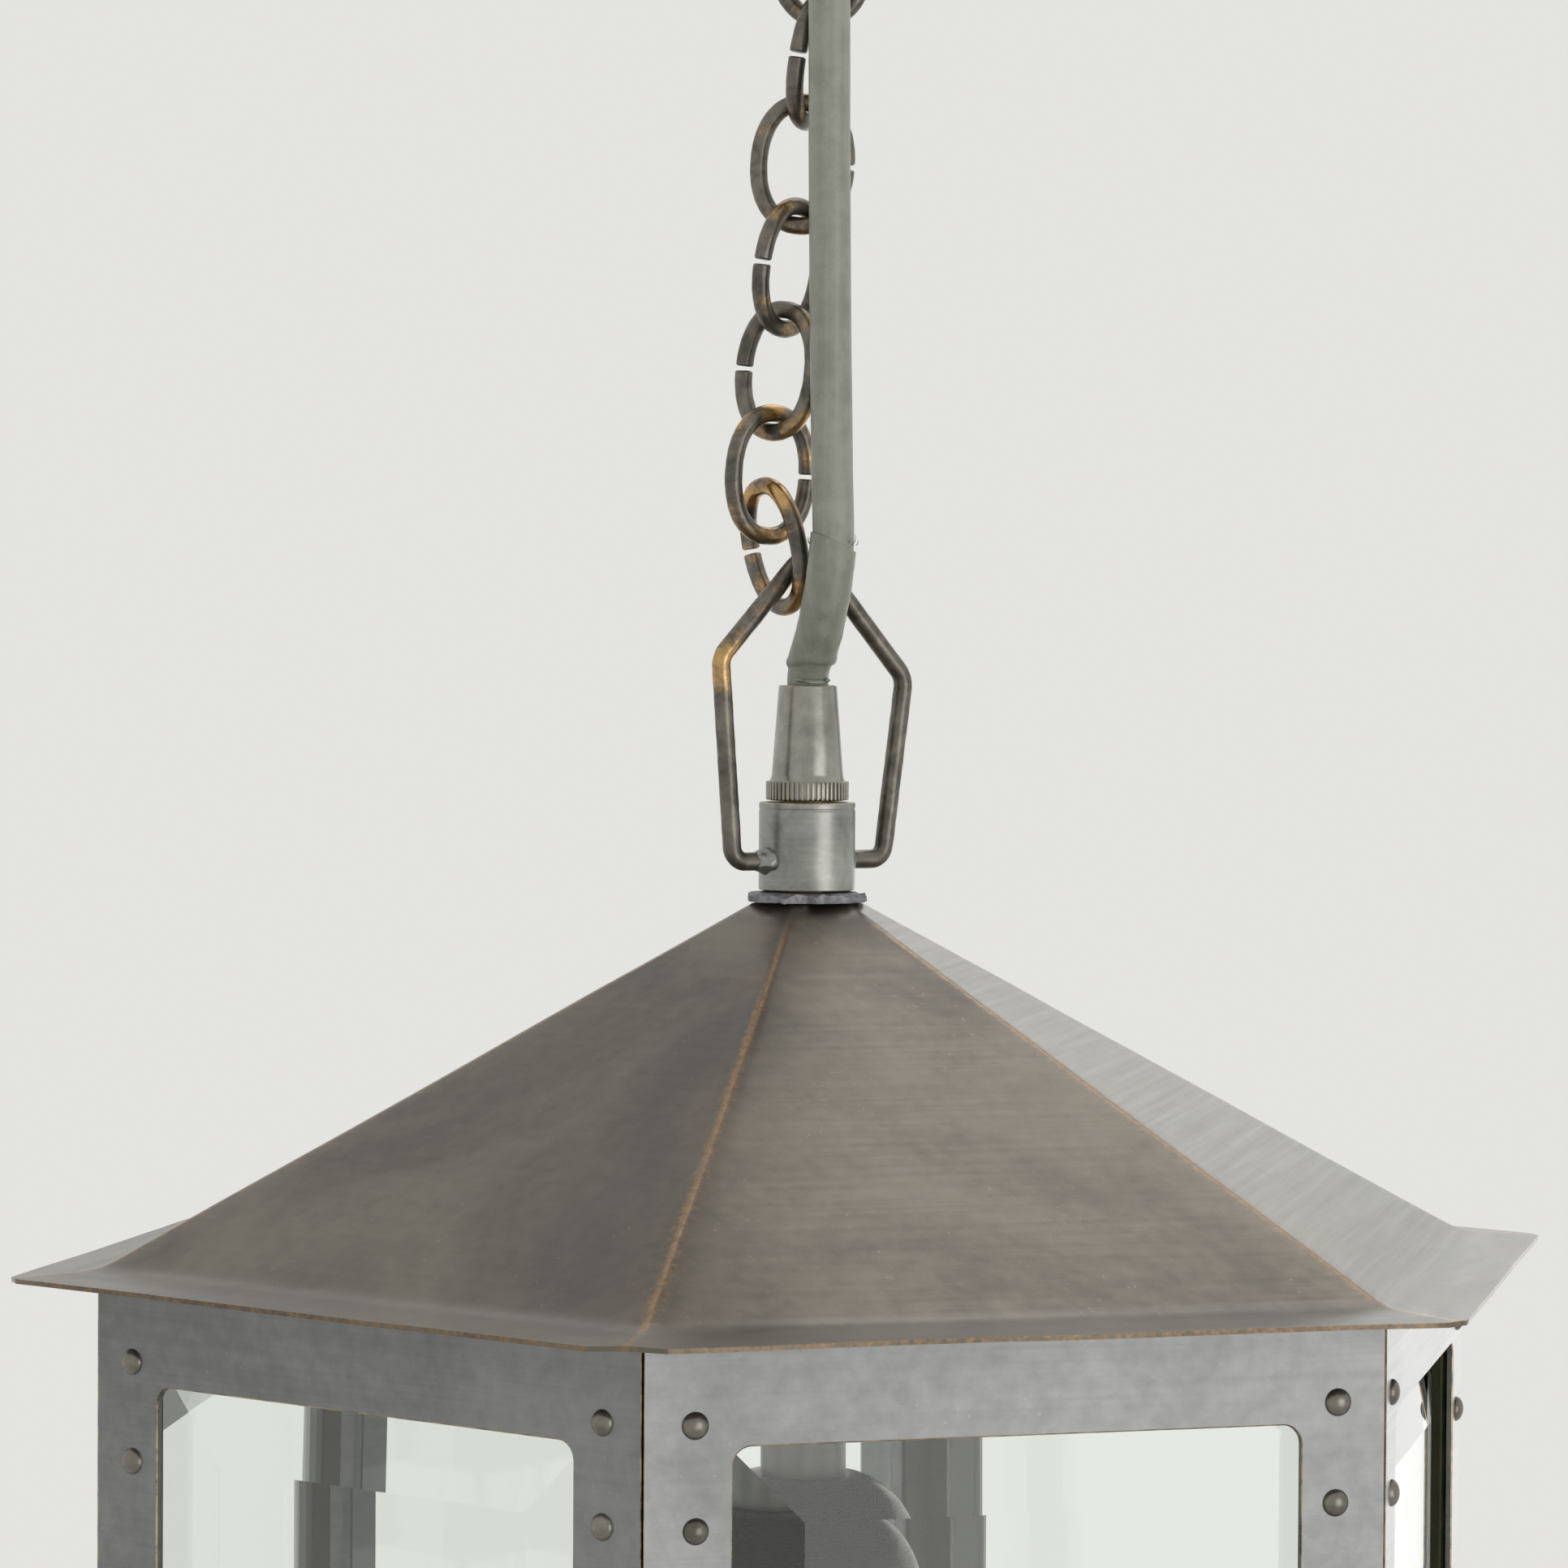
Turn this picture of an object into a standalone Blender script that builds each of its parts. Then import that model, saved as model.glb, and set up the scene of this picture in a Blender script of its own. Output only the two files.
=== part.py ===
"""Hexagonal glazed lantern hung from a ceiling hook by a link chain and its flex.

The frame's origin is the centre of the ceiling face. Everything hangs below it, +Z is up, and
one glazed face of the body looks along -Y.
"""

import math

import bmesh
import bpy
from mathutils import Matrix, Vector

# ---------------------------------------------------------------- shared allowances
GAP = 0.0003            # air left between pieces that touch
MERGE = 0.00005         # welding distance for doubled points
SHEET = 0.0012          # brass sheet of the face frames
SIDES = 6               # faces of the body
STEP_ANGLE = math.radians(360.0 / SIDES)
HALF_STEP = STEP_ANGLE / 2.0

# ---------------------------------------------------------------- ceiling fitting
PLATE_RADIUS = 0.046
PLATE_THICK = 0.0025
PLATE_SCREW_RADIUS = 0.0026
PLATE_SCREW_SPREAD = 0.031
ROSE_MARGIN = 0.0060        # rose beyond the plate
ROSE_DEPTH = 0.0240
ROSE_WALL = 0.0010
HOOK_WIRE = 0.0050
HOOK_BEND = 0.0090
HOOK_DROP = 0.07511      # ceiling to the centre of the hook's lowest wire
HOOK_BOSS_FLATS = 0.0100
HOOK_BOSS_THICK = 0.0080
GLAND_WALL = 0.0027
GLAND_TAPER = 0.0015
GLAND_LENGTH = 0.0110
GLAND_OUT = 0.0270       # gland centre from the hook's axis

# ---------------------------------------------------------------- chain
LINK_WIRE = 0.0034
LINK_EYE_LENGTH = 0.0203
LINK_EYE_WIDTH = 0.0134
LINK_JOINT = 0.0009      # open butt joint in one side
LINK_POINTS = 20
LINK_SQUARENESS = 2.2    # 2 is an ellipse, more is nearer to a slot
CHAIN_TURN = math.radians(-18.5)   # the plane that the slack chain bows in
LINK_LEANS = (0.0, 6.7, -9.0, -4.0, -8.0, -5.3, -3.0)      # degrees, from the hook down
LINK_TURNS = (90.0, 0.0, 68.0, 0.0, 50.0, -38.0, 33.0)     # degrees, from the hook down
LINK_FLIPS = (1, 1, 1, 0, 1, 1, 0)                         # 1 has its butt joint on the other side
BOTTOM_LINK_LEAN = 11.7
BOTTOM_LINK_TURN = -57.0
BOTTOM_LINK_SHIFT = 0.0015  # its centre, right of the lowest wire of the link above
BOTTOM_LINK_DROP = 0.0020   # and below it
CROWN_DROP = 0.0022         # centre of the bail's crown wire, below the bottom link's centre

# ---------------------------------------------------------------- bail loop
BAIL_ROD = 0.0036
BAIL_TURN = math.radians(14.5)
BAIL_BEND = 0.0045
BAIL_ELBOW = 0.0030
BAIL_CROWN_RISE = 0.0470    # crown wire centre above the collar's top
BAIL_FOOT_DROP = 0.0113     # foot wire centre below the collar's top
BAIL_SIDES = ((0.0169, 0.0199, 0.0279), (0.0175, 0.0223, 0.0238))  # elbow out, bend out, bend rise
BAIL_FOOT_DEPTH = 0.0022

# ---------------------------------------------------------------- collar, grip and sleeve
FLEX_RADIUS = 0.0040
SLEEVE_WALL = 0.0005
GRIP_TOP_WALL = 0.0008
GRIP_HEIGHT = 0.0225
KNURL_HEIGHT = 0.0038
KNURL_SHOULDER = 0.0009
THREAD_RADIUS = 0.0050
THREAD_BORE = 0.0036
LEAD_PLAY = 0.0006
SCREWED_IN = 0.0030         # thread that stands in the grip
GRIP_BASE_WALL = 0.0019
KNURL_WALL = 0.0030
COLLAR_WALL = 0.0043
COLLAR_HEIGHT = 0.0170
WASHER_LIP = 0.0019         # washer beyond the collar
WASHER_THICK = 0.0019

# ---------------------------------------------------------------- roof
ROOF_SHEET = 0.0009
ROOF_HEIGHT = 0.0683        # eave plane to the flat top
ROOF_TOP_LIP = 0.0001       # flat top beyond the washer
CREASE_INSET = 0.0002       # crease inside the body's corners
CREASE_RISE = 0.0012
EAVE_FLARE = 0.0172         # eave beyond the crease
ROOF_NUT_WALL = 0.0035
ROOF_NUT_THICK = 0.0030

# ---------------------------------------------------------------- body
BODY_RADIUS = 0.1390        # to the corners
BODY_HEIGHT = 0.2900
TOP_RAIL = 0.0190
BOTTOM_RAIL = 0.0190
STILE = 0.0164
WINDOW_CORNER = 0.0035
POST_LEG = 0.0140
DOOR_POST_LEG = 0.0050
POST_SHEET = 0.0010
GLASS_THICK = 0.0040
GLASS_EDGE = 0.0020         # thickness left at the bevelled edge
GLASS_BEVEL = 0.0200
GLASS_LAP = 0.0059          # glass behind each side of its window
RING_WIDTH = 0.0120
RIVET_RADIUS = 0.00245
RIVET_RISE = 0.0015
RIVET_IN = 0.0096           # rivet centre from the corner
RIVET_FIRST = 0.0150        # first rivet from the rail's outer edge
RIVET_PITCH = 0.0183
BASE_LIP = 0.0035           # base plate beyond the body's corners
BASE_SHEET = 0.0015
BASE_VENT_RADIUS = 0.0300

# ---------------------------------------------------------------- door
PIN_RADIUS = 0.0009
PIN_PLAY = 0.0003
KNUCKLE_WALL = 0.0010
PIN_HEAD_LIP = 0.0010       # head beyond the pin
PIN_HEAD_THICK = 0.0012
KNUCKLE_LENGTH = 0.0120
LEAF_WIDTH = 0.0070
LEAF_SHEET = 0.0010
HINGE_INSET = 0.0620        # hinge centre from the frame's nearer end
KNOB_RADIUS = 0.0050
KNOB_REACH = 0.0095
KNOB_SHANK = 0.0014
KNOB_IN = 0.0084            # knob centre from the corner
CATCH_SHEET = 0.0008
CATCH_HEIGHT = 0.0120
CATCH_WIDTH = 0.0030
CATCH_IN = 0.0020           # from the free post's corner
CATCH_RISE = 0.0240         # above the knob
DOOR_HEADROOM = 0.0016      # lets the door swing out under the flared eave
DOOR_FACE = 3               # face number, counted from the front face at 0

# ---------------------------------------------------------------- lamp
STEM_RADIUS = 0.00825
STEM_WALL = 0.0010
STEM_END_DROP = 0.0484      # below the eave plane
CUP_ROOM = 0.0055           # air round the lampholder
CUP_WALL = 0.0008
CUP_SHOULDER = 0.0180
CUP_HEIGHT = 0.0400
HOLDER_WALL = 0.0037
HOLDER_BOSS_WALL = 0.0035
HOLDER_BOSS_HEIGHT = 0.0100
HOLDER_PLAY = 0.0006
HOLDER_HEIGHT = 0.0300
HOLDER_ROOF = 0.0060
CAP_RADIUS = 0.0132
CAP_HEIGHT = 0.0250
CAP_TIP_RADIUS = 0.0048
BULB_RADIUS = 0.0300
BULB_NECK_STEP = 0.0004     # neck inside the cap's radius
BULB_LENGTH = 0.0800

# ---------------------------------------------------------------- derived sizes and levels
ROSE_RADIUS = PLATE_RADIUS + ROSE_MARGIN
GLAND_RADIUS = FLEX_RADIUS + GAP + GLAND_WALL
SLEEVE_RADIUS = FLEX_RADIUS + SLEEVE_WALL
GRIP_BORE = SLEEVE_RADIUS + GAP
GRIP_TOP_RADIUS = GRIP_BORE + GRIP_TOP_WALL
GRIP_BASE_RADIUS = THREAD_RADIUS + GRIP_BASE_WALL
KNURL_RADIUS = THREAD_RADIUS + KNURL_WALL
LEAD_RADIUS = THREAD_BORE - LEAD_PLAY
COLLAR_RADIUS = THREAD_RADIUS + COLLAR_WALL
WASHER_RADIUS = COLLAR_RADIUS + WASHER_LIP
ROOF_TOP_RADIUS = WASHER_RADIUS + ROOF_TOP_LIP
CREASE_RADIUS = BODY_RADIUS - CREASE_INSET
EAVE_RADIUS = CREASE_RADIUS + EAVE_FLARE
ROOF_NUT_FLATS = 2.0 * (THREAD_RADIUS + ROOF_NUT_WALL)
BASE_RADIUS = BODY_RADIUS + BASE_LIP
KNUCKLE_BORE = PIN_RADIUS + PIN_PLAY
KNUCKLE_RADIUS = KNUCKLE_BORE + KNUCKLE_WALL
PIN_HEAD_RADIUS = PIN_RADIUS + PIN_HEAD_LIP
HOLDER_BORE = CAP_RADIUS + HOLDER_PLAY
HOLDER_RADIUS = HOLDER_BORE + HOLDER_WALL
HOLDER_BOSS_RADIUS = THREAD_RADIUS + HOLDER_BOSS_WALL
CUP_RADIUS = HOLDER_RADIUS + CUP_ROOM
BULB_NECK_RADIUS = CAP_RADIUS - BULB_NECK_STEP
LINK_HALF = (LINK_EYE_LENGTH + LINK_WIRE) / 2.0  # centre-line half length
LINK_SIDE = (LINK_EYE_WIDTH + LINK_WIRE) / 2.0   # centre-line half width
LINK_SEAT = LINK_WIRE + GAP                      # wire to wire where links cross
FACE_APOTHEM = BODY_RADIUS * math.cos(HALF_STEP)
FACE_WIDTH = 2.0 * BODY_RADIUS * math.sin(HALF_STEP)
WINDOW_WIDTH = FACE_WIDTH - 2.0 * STILE
WINDOW_HEIGHT = BODY_HEIGHT - TOP_RAIL - BOTTOM_RAIL
GLASS_WIDTH = WINDOW_WIDTH + 2.0 * GLASS_LAP
GLASS_HEIGHT = WINDOW_HEIGHT + 2.0 * GLASS_LAP
POST_SETBACK = SHEET + GAP
GLASS_SETBACK = POST_SETBACK + POST_SHEET + GAP
DOOR_GLASS_SETBACK = SHEET + GAP


def chain_direction(across, toward):
    """Horizontal vector from a distance across the chain's plane and one out of it."""
    return Matrix.Rotation(CHAIN_TURN, 3, "Z") @ Vector((across, toward, 0.0))


def chain_layout():
    """Centres, leans and turns of the links from the hook down, and the lowest wire's centre."""
    seat = LINK_WIRE / 2.0 + HOOK_WIRE / 2.0 + GAP
    top = Vector((0.0, -HOOK_DROP + seat))
    layout = []
    for lean, turn, flip in zip(LINK_LEANS, LINK_TURNS, LINK_FLIPS):
        angle = math.radians(lean)
        down = Vector((math.sin(angle), -math.cos(angle)))
        centre = top + down * LINK_HALF
        bottom = top + down * LINK_HALF * 2.0
        layout.append((centre, lean, turn, flip))
        top = bottom - down * LINK_SEAT
    return layout, bottom


CHAIN, CHAIN_END = chain_layout()
BOTTOM_LINK = Vector((CHAIN_END.x + BOTTOM_LINK_SHIFT, CHAIN_END.y - BOTTOM_LINK_DROP))
CROWN_Z = BOTTOM_LINK.y - CROWN_DROP
COLLAR_TOP = CROWN_Z - BAIL_CROWN_RISE
WASHER_TOP = COLLAR_TOP - COLLAR_HEIGHT - GAP
ROOF_TOP = WASHER_TOP - WASHER_THICK - GAP
EAVE_Z = ROOF_TOP - ROOF_HEIGHT
BODY_TOP = EAVE_Z + CREASE_RISE - ROOF_SHEET - 2.0 * GAP
BODY_BOTTOM = BODY_TOP - BODY_HEIGHT
BODY_MIDDLE = (BODY_TOP + BODY_BOTTOM) / 2.0
STEM_BOTTOM = EAVE_Z - STEM_END_DROP
ROOF_NUT_TOP = ROOF_TOP - ROOF_SHEET - GAP
STEM_TOP = ROOF_NUT_TOP - ROOF_NUT_THICK - GAP
CUP_TOP = STEM_BOTTOM - GAP
HOLDER_TOP = CUP_TOP - CUP_WALL - GAP
THREAD_TOP = COLLAR_TOP + SCREWED_IN
THREAD_BOTTOM = HOLDER_TOP - HOLDER_ROOF
KNOB_X = -(FACE_WIDTH / 2.0 - KNOB_IN)   # the hinges are on the door's other side
HINGE_CORNER = math.radians(-150.0)
HINGE_AXIS_RADIUS = BODY_RADIUS + KNUCKLE_RADIUS + GAP

# Route of the flex: across the chain's plane, out of it towards the front, height above the
# collar's top. It is a list chosen by hand, from the ceiling gland down to the sleeve's mouth.
FLEX_ROUTE = (
    (0.0000, -0.0270, 0.2310), (0.0000, -0.0270, 0.2240), (0.0002, -0.0260, 0.2150),
    (0.0007, -0.0232, 0.2050), (0.0014, -0.0190, 0.1950), (0.0022, -0.0150, 0.1850),
    (0.0028, -0.0122, 0.1740), (0.0032, -0.0108, 0.1600), (0.0034, -0.0104, 0.1430),
    (0.0035, -0.0104, 0.1250), (0.0037, -0.0104, 0.1080), (0.0039, -0.0104, 0.0910),
    (0.0042, -0.0105, 0.0750), (0.0044, -0.0107, 0.0630), (0.0047, -0.0110, 0.0510),
)
SLEEVE_ROUTE = (
    (0.0047, -0.0110, 0.0500), (0.0043, -0.0111, 0.0460), (0.0035, -0.0103, 0.0400),
    (0.0024, -0.0074, 0.0340), (0.0010, -0.0030, 0.0285), (0.0001, -0.0003, 0.0250),
    (0.0000, 0.0000, 0.0220), (0.0000, 0.0000, 0.0060),
)
FLEX_SPLIT = 0.1830         # height above the collar's top where the flex joins the chain

# ---------------------------------------------------------------- scene and materials


def clear_scene():
    """Remove every object of the start-up scene."""
    for item in list(bpy.data.objects):
        bpy.data.objects.remove(item, do_unlink=True)


clear_scene()
ASSEMBLY = bpy.data.collections.new("hanging_lantern")
CUTTERS = bpy.data.collections.new("cutters")
bpy.context.scene.collection.children.link(ASSEMBLY)
bpy.context.scene.collection.children.link(CUTTERS)


def material(name, colour, roughness, metallic, transmission=0.0):
    """Principled material with one colour, roughness and metallic value."""
    result = bpy.data.materials.new(name)
    result.use_nodes = True
    shader = result.node_tree.nodes["Principled BSDF"]
    shader.inputs["Base Color"].default_value = (*colour, 1.0)
    shader.inputs["Roughness"].default_value = roughness
    shader.inputs["Metallic"].default_value = metallic
    shader.inputs["Transmission Weight"].default_value = transmission
    return result


AGED_BRASS = ("aged_brass", (0.19, 0.18, 0.165), 0.42, 1.0)
ROOF_BRASS = ("roof_brass", (0.15, 0.13, 0.115), 0.45, 1.0)
WORN_BRASS = ("worn_brass", (0.30, 0.20, 0.11), 0.38, 1.0)
SOLDER = ("solder", (0.24, 0.24, 0.26), 0.6, 1.0)
STEEL = ("steel", (0.45, 0.45, 0.45), 0.35, 1.0)
PVC = ("grey_pvc", (0.17, 0.18, 0.165), 0.5, 0.0)
BAKELITE = ("bakelite", (0.03, 0.03, 0.03), 0.35, 0.0)
CLEAR_GLASS = ("clear_glass", (0.93, 0.97, 0.95), 0.02, 0.0, 1.0)


def place(obj, name, finish, collection=ASSEMBLY, sharp=35.0):
    """Name an object, give it its own material, shade it and put it in its collection."""
    obj.name = name
    obj.data.name = name
    for owner in list(obj.users_collection):
        owner.objects.unlink(obj)
    collection.objects.link(obj)
    obj.data.materials.clear()
    obj.data.materials.append(material(name + "_" + finish[0], *finish[1:]))
    if obj.type == "MESH":
        obj.data.shade_smooth()
        obj.data.set_sharp_from_angle(angle=math.radians(sharp))
    return obj


def mesh_object(name, work):
    """Object from a bmesh, which is freed."""
    mesh = bpy.data.meshes.new(name)
    work.to_mesh(mesh)
    work.free()
    return bpy.data.objects.new(name, mesh)


def as_cutter(obj):
    """Put an object among the cutters, out of renders and drawn as wire."""
    for owner in list(obj.users_collection):
        owner.objects.unlink(obj)
    CUTTERS.objects.link(obj)
    obj.hide_render = True
    obj.display_type = "WIRE"
    return obj


def boolean(obj, other, operation):
    """Exact Boolean of an object with a cutter."""
    step = obj.modifiers.new(operation.lower() + "_" + other.name, "BOOLEAN")
    step.operation = operation
    step.solver = "EXACT"
    step.object = other
    return obj


def baked(obj):
    """Mesh object with the curve's or modifiers' result, in world space."""
    bpy.context.view_layer.update()
    view = obj.evaluated_get(bpy.context.evaluated_depsgraph_get())
    mesh = bpy.data.meshes.new_from_object(view)
    work = bmesh.new()
    work.from_mesh(mesh)
    bmesh.ops.remove_doubles(work, verts=work.verts, dist=MERGE)
    bmesh.ops.transform(work, matrix=obj.matrix_world, verts=work.verts)
    bpy.data.meshes.remove(mesh)
    name = obj.name
    bpy.data.objects.remove(obj, do_unlink=True)
    return mesh_object(name, work)


# ---------------------------------------------------------------- shapes


def turned(name, profile, steps=24, closed=True, centre=(0.0, 0.0)):
    """Solid of revolution about a vertical axis.

    profile holds (radius, height) pairs and runs down the outer side. A closed profile is a
    ring, an open one starts and ends on the axis.
    """
    work = bmesh.new()
    points = [work.verts.new((radius, 0.0, height)) for radius, height in profile]
    for first, second in zip(points, points[1:]):
        work.edges.new((first, second))
    if closed:
        work.edges.new((points[-1], points[0]))
    obj = mesh_object(name, work)
    bpy.context.scene.collection.objects.link(obj)
    spin = obj.modifiers.new("turn", "SCREW")
    spin.axis = "Z"
    spin.angle = math.tau
    spin.screw_offset = 0.0
    spin.steps = steps
    spin.render_steps = steps
    spin.use_merge_vertices = True
    spin.merge_threshold = MERGE
    obj.location = (centre[0], centre[1], 0.0)
    return obj


def arc(centre, radius, start, end, count):
    """Points on an arc in a plane, angles in degrees."""
    result = []
    for index in range(count + 1):
        angle = math.radians(start + (end - start) * index / count)
        result.append((centre[0] + radius * math.cos(angle), centre[1] + radius * math.sin(angle)))
    return result


def wire(name, points, radius, resolution=2):
    """Round rod along a list of points."""
    curve = bpy.data.curves.new(name, "CURVE")
    curve.dimensions = "3D"
    curve.resolution_u = 1
    curve.render_resolution_u = 0
    curve.bevel_depth = radius
    curve.bevel_resolution = resolution
    curve.use_fill_caps = True
    spline = curve.splines.new("POLY")
    spline.points.add(len(points) - 1)
    for slot, point in zip(spline.points, points):
        slot.co = (*point, 1.0)
    obj = bpy.data.objects.new(name, curve)
    bpy.context.scene.collection.objects.link(obj)
    return obj


def rounded(points, radii, steps=4):
    """Polyline with its inner corners replaced by arcs of the given radii."""
    corners = [Vector(point) for point in points]
    result = [corners[0]]
    for index in range(1, len(corners) - 1):
        corner = corners[index]
        back = (corners[index - 1] - corner).normalized()
        ahead = (corners[index + 1] - corner).normalized()
        half = back.angle(ahead) / 2.0
        reach = radii[index - 1] / math.tan(half)
        centre = corner + (back + ahead).normalized() * radii[index - 1] / math.sin(half)
        start = corner + back * reach - centre
        end = corner + ahead * reach - centre
        for count in range(steps + 1):
            result.append(centre + start.slerp(end, count / steps) * radii[index - 1])
    result.append(corners[-1])
    return result


def smooth_route(points, spacing):
    """Points at an even spacing along a Catmull-Rom curve through a route."""
    knots = [Vector(point) for point in points]
    knots = [knots[0] * 2.0 - knots[1]] + knots + [knots[-1] * 2.0 - knots[-2]]
    fine = []
    for index in range(1, len(knots) - 2):
        before, start, end, after = knots[index - 1:index + 3]
        for count in range(12):
            t = count / 12.0
            fine.append(0.5 * (
                start * 2.0 + (end - before) * t
                + (before * 2.0 - start * 5.0 + end * 4.0 - after) * t ** 2
                + (start * 3.0 - before - end * 3.0 + after) * t ** 3
            ))
    fine.append(knots[-2])
    total = sum((second - first).length for first, second in zip(fine, fine[1:]))
    pieces = max(2, round(total / spacing))
    result = [fine[0]]
    walked = 0.0
    for first, second in zip(fine, fine[1:]):
        step = (second - first).length
        while len(result) < pieces and walked + step >= total * len(result) / pieces:
            share = (total * len(result) / pieces - walked) / step
            result.append(first.lerp(second, share))
        walked += step
    result.append(fine[-1])
    return result


def plate(name, outline, thick, holes=()):
    """Flat plate in the XY plane, centred on Z, from an outline and its holes."""
    curve = bpy.data.curves.new(name, "CURVE")
    curve.dimensions = "2D"
    curve.fill_mode = "BOTH"
    curve.resolution_u = 1
    curve.render_resolution_u = 0
    curve.extrude = thick / 2.0
    for loop in (outline, *holes):
        spline = curve.splines.new("POLY")
        spline.points.add(len(loop) - 1)
        for slot, point in zip(spline.points, loop):
            slot.co = (point[0], point[1], 0.0, 1.0)
        spline.use_cyclic_u = True
    obj = bpy.data.objects.new(name, curve)
    bpy.context.scene.collection.objects.link(obj)
    return baked(obj)


def polygon(radius, sides, turn=0.0):
    """Corners of a regular polygon, counted from the front."""
    step = math.tau / sides
    return [
        (radius * math.sin(turn + step * index), -radius * math.cos(turn + step * index))
        for index in range(sides)
    ]


def rounded_window(width, height, radius, steps=4):
    """Outline of a window with rounded corners, centred on the origin."""
    across, up = width / 2.0 - radius, height / 2.0 - radius
    result = []
    for index, (x, y) in enumerate(((across, up), (-across, up), (-across, -up), (across, -up))):
        result += arc((x, y), radius, 90.0 * index, 90.0 * index + 90.0, steps)
    return result


def face_matrix(index, setback=0.0, height=BODY_MIDDLE):
    """Places a plate drawn in XY, with its +Z side facing out, on a face of the body."""
    turn = Matrix.Rotation(STEP_ANGLE * index, 4, "Z")
    stand = Matrix.Rotation(math.radians(90.0), 4, "X")
    out = Matrix.Translation((0.0, -(FACE_APOTHEM - setback), height))
    return turn @ out @ stand


def transformed(obj, matrix):
    """Apply a matrix to a mesh object's points."""
    obj.data.transform(matrix)
    return obj


# ---------------------------------------------------------------- ceiling fitting


def ceiling_fitting():
    """Mounting plate, rose, hook, its threaded boss and the flex gland."""
    screws = [
        [(side * PLATE_SCREW_SPREAD + x, y) for x, y in polygon(PLATE_SCREW_RADIUS, 12)]
        for side in (-1.0, 1.0)
    ]
    disc = plate("mounting_plate", polygon(PLATE_RADIUS, 40), PLATE_THICK, screws)
    transformed(disc, Matrix.Translation((0.0, 0.0, -PLATE_THICK / 2.0)))
    place(disc, "mounting_plate", STEEL)

    rose = turned("ceiling_rose", rose_profile(), steps=32)
    gland = chain_direction(0.0, -GLAND_OUT)
    hole = turned("gland_hole", cylinder_profile(GLAND_RADIUS - GLAND_TAPER, 0.0, -2.0 * ROSE_DEPTH),
                  16, False, (gland.x, gland.y))
    boolean(rose, as_cutter(hole), "DIFFERENCE")
    place(rose, "ceiling_rose", AGED_BRASS)

    hook_top = -PLATE_THICK - GAP
    bend = HOOK_BEND
    centre_z = -HOOK_DROP + bend
    side = [(0.0, 0.0, hook_top), (0.0, 0.0, centre_z + bend * 1.9), (bend, 0.0, centre_z + bend)]
    loop = [
        (bend * math.cos(angle), 0.0, centre_z + bend * math.sin(angle))
        for angle in (math.radians(-15.0 * count) for count in range(0, 14))
    ]
    points = [chain_direction(x, y) + Vector((0.0, 0.0, z)) for x, y, z in side + loop]
    place(wire("ceiling_hook", points, HOOK_WIRE / 2.0, 3), "ceiling_hook", AGED_BRASS)

    boss = hex_nut("hook_boss", HOOK_BOSS_FLATS, HOOK_BOSS_THICK, HOOK_WIRE / 2.0 + GAP)
    boss_z = -PLATE_THICK - GAP - HOOK_BOSS_THICK / 2.0
    place(transformed(boss, Matrix.Translation((0.0, 0.0, boss_z))), "hook_boss", STEEL)

    gland_top = -ROSE_DEPTH - GAP
    bore = FLEX_RADIUS + GAP
    profile = [
        (bore, gland_top), (GLAND_RADIUS, gland_top),
        (GLAND_RADIUS, gland_top - GLAND_LENGTH * 0.6),
        (GLAND_RADIUS - GLAND_TAPER, gland_top - GLAND_LENGTH), (bore, gland_top - GLAND_LENGTH),
    ]
    place(turned("flex_gland", profile, 20, True, (gland.x, gland.y)), "flex_gland", AGED_BRASS)


def cylinder_profile(radius, top, bottom):
    """Open profile of a cylinder."""
    return [(0.0, top), (radius, top), (radius, bottom), (0.0, bottom)]


def rose_profile():
    """Closed section of the rose: a flat floor, a rounded shoulder and a straight rim."""
    floor = -ROSE_DEPTH
    shoulder = ROSE_DEPTH * 0.45
    flat = ROSE_RADIUS - shoulder
    hole = HOOK_WIRE / 2.0 + GAP * 2.0
    outer = [(ROSE_RADIUS, 0.0)] + arc((flat, floor + shoulder), shoulder, 0.0, -90.0, 5)
    outer.append((hole, floor))
    inner = [(hole, floor + ROSE_WALL)]
    inner += arc((flat, floor + shoulder), shoulder - ROSE_WALL, -90.0, 0.0, 5)
    inner.append((ROSE_RADIUS - ROSE_WALL, 0.0))
    return outer + inner


def hex_nut(name, flats, thick, bore):
    """Hexagonal nut, centred on the origin."""
    corner = flats / 2.0 / math.cos(HALF_STEP)
    return plate(name, polygon(corner, 6), thick, [polygon(bore, 16)])


# ---------------------------------------------------------------- chain


def link_points(flip):
    """Centre line of an open-jointed oval link, standing in the XZ plane."""
    start = math.asin(LINK_JOINT / 2.0 / LINK_HALF)
    power = 2.0 / LINK_SQUARENESS
    points = []
    for index in range(LINK_POINTS + 1):
        angle = start + (math.tau - 2.0 * start) * index / LINK_POINTS
        across = math.copysign(abs(math.cos(angle)) ** power, math.cos(angle))
        up = math.copysign(abs(math.sin(angle)) ** power, math.sin(angle))
        points.append(Vector((across * LINK_SIDE, 0.0, up * LINK_HALF)))
    points[0].z = LINK_JOINT / 2.0
    points[-1].z = -LINK_JOINT / 2.0
    if flip:
        points = [Vector((-point.x, 0.0, point.z)) for point in points]
    return points


def chain_link(name, centre, lean, turn, flip, finish):
    """One link, turned about its long axis and then leant in the chain's plane."""
    out = chain_direction(centre[0], 0.0)
    matrix = (
        Matrix.Translation((out.x, out.y, centre[1]))
        @ Matrix.Rotation(CHAIN_TURN, 4, "Z")
        @ Matrix.Rotation(math.radians(-lean), 4, "Y")
        @ Matrix.Rotation(math.radians(turn), 4, "Z")
    )
    points = [matrix @ point for point in link_points(flip)]
    place(wire(name, points, LINK_WIRE / 2.0), name, finish)


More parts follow.
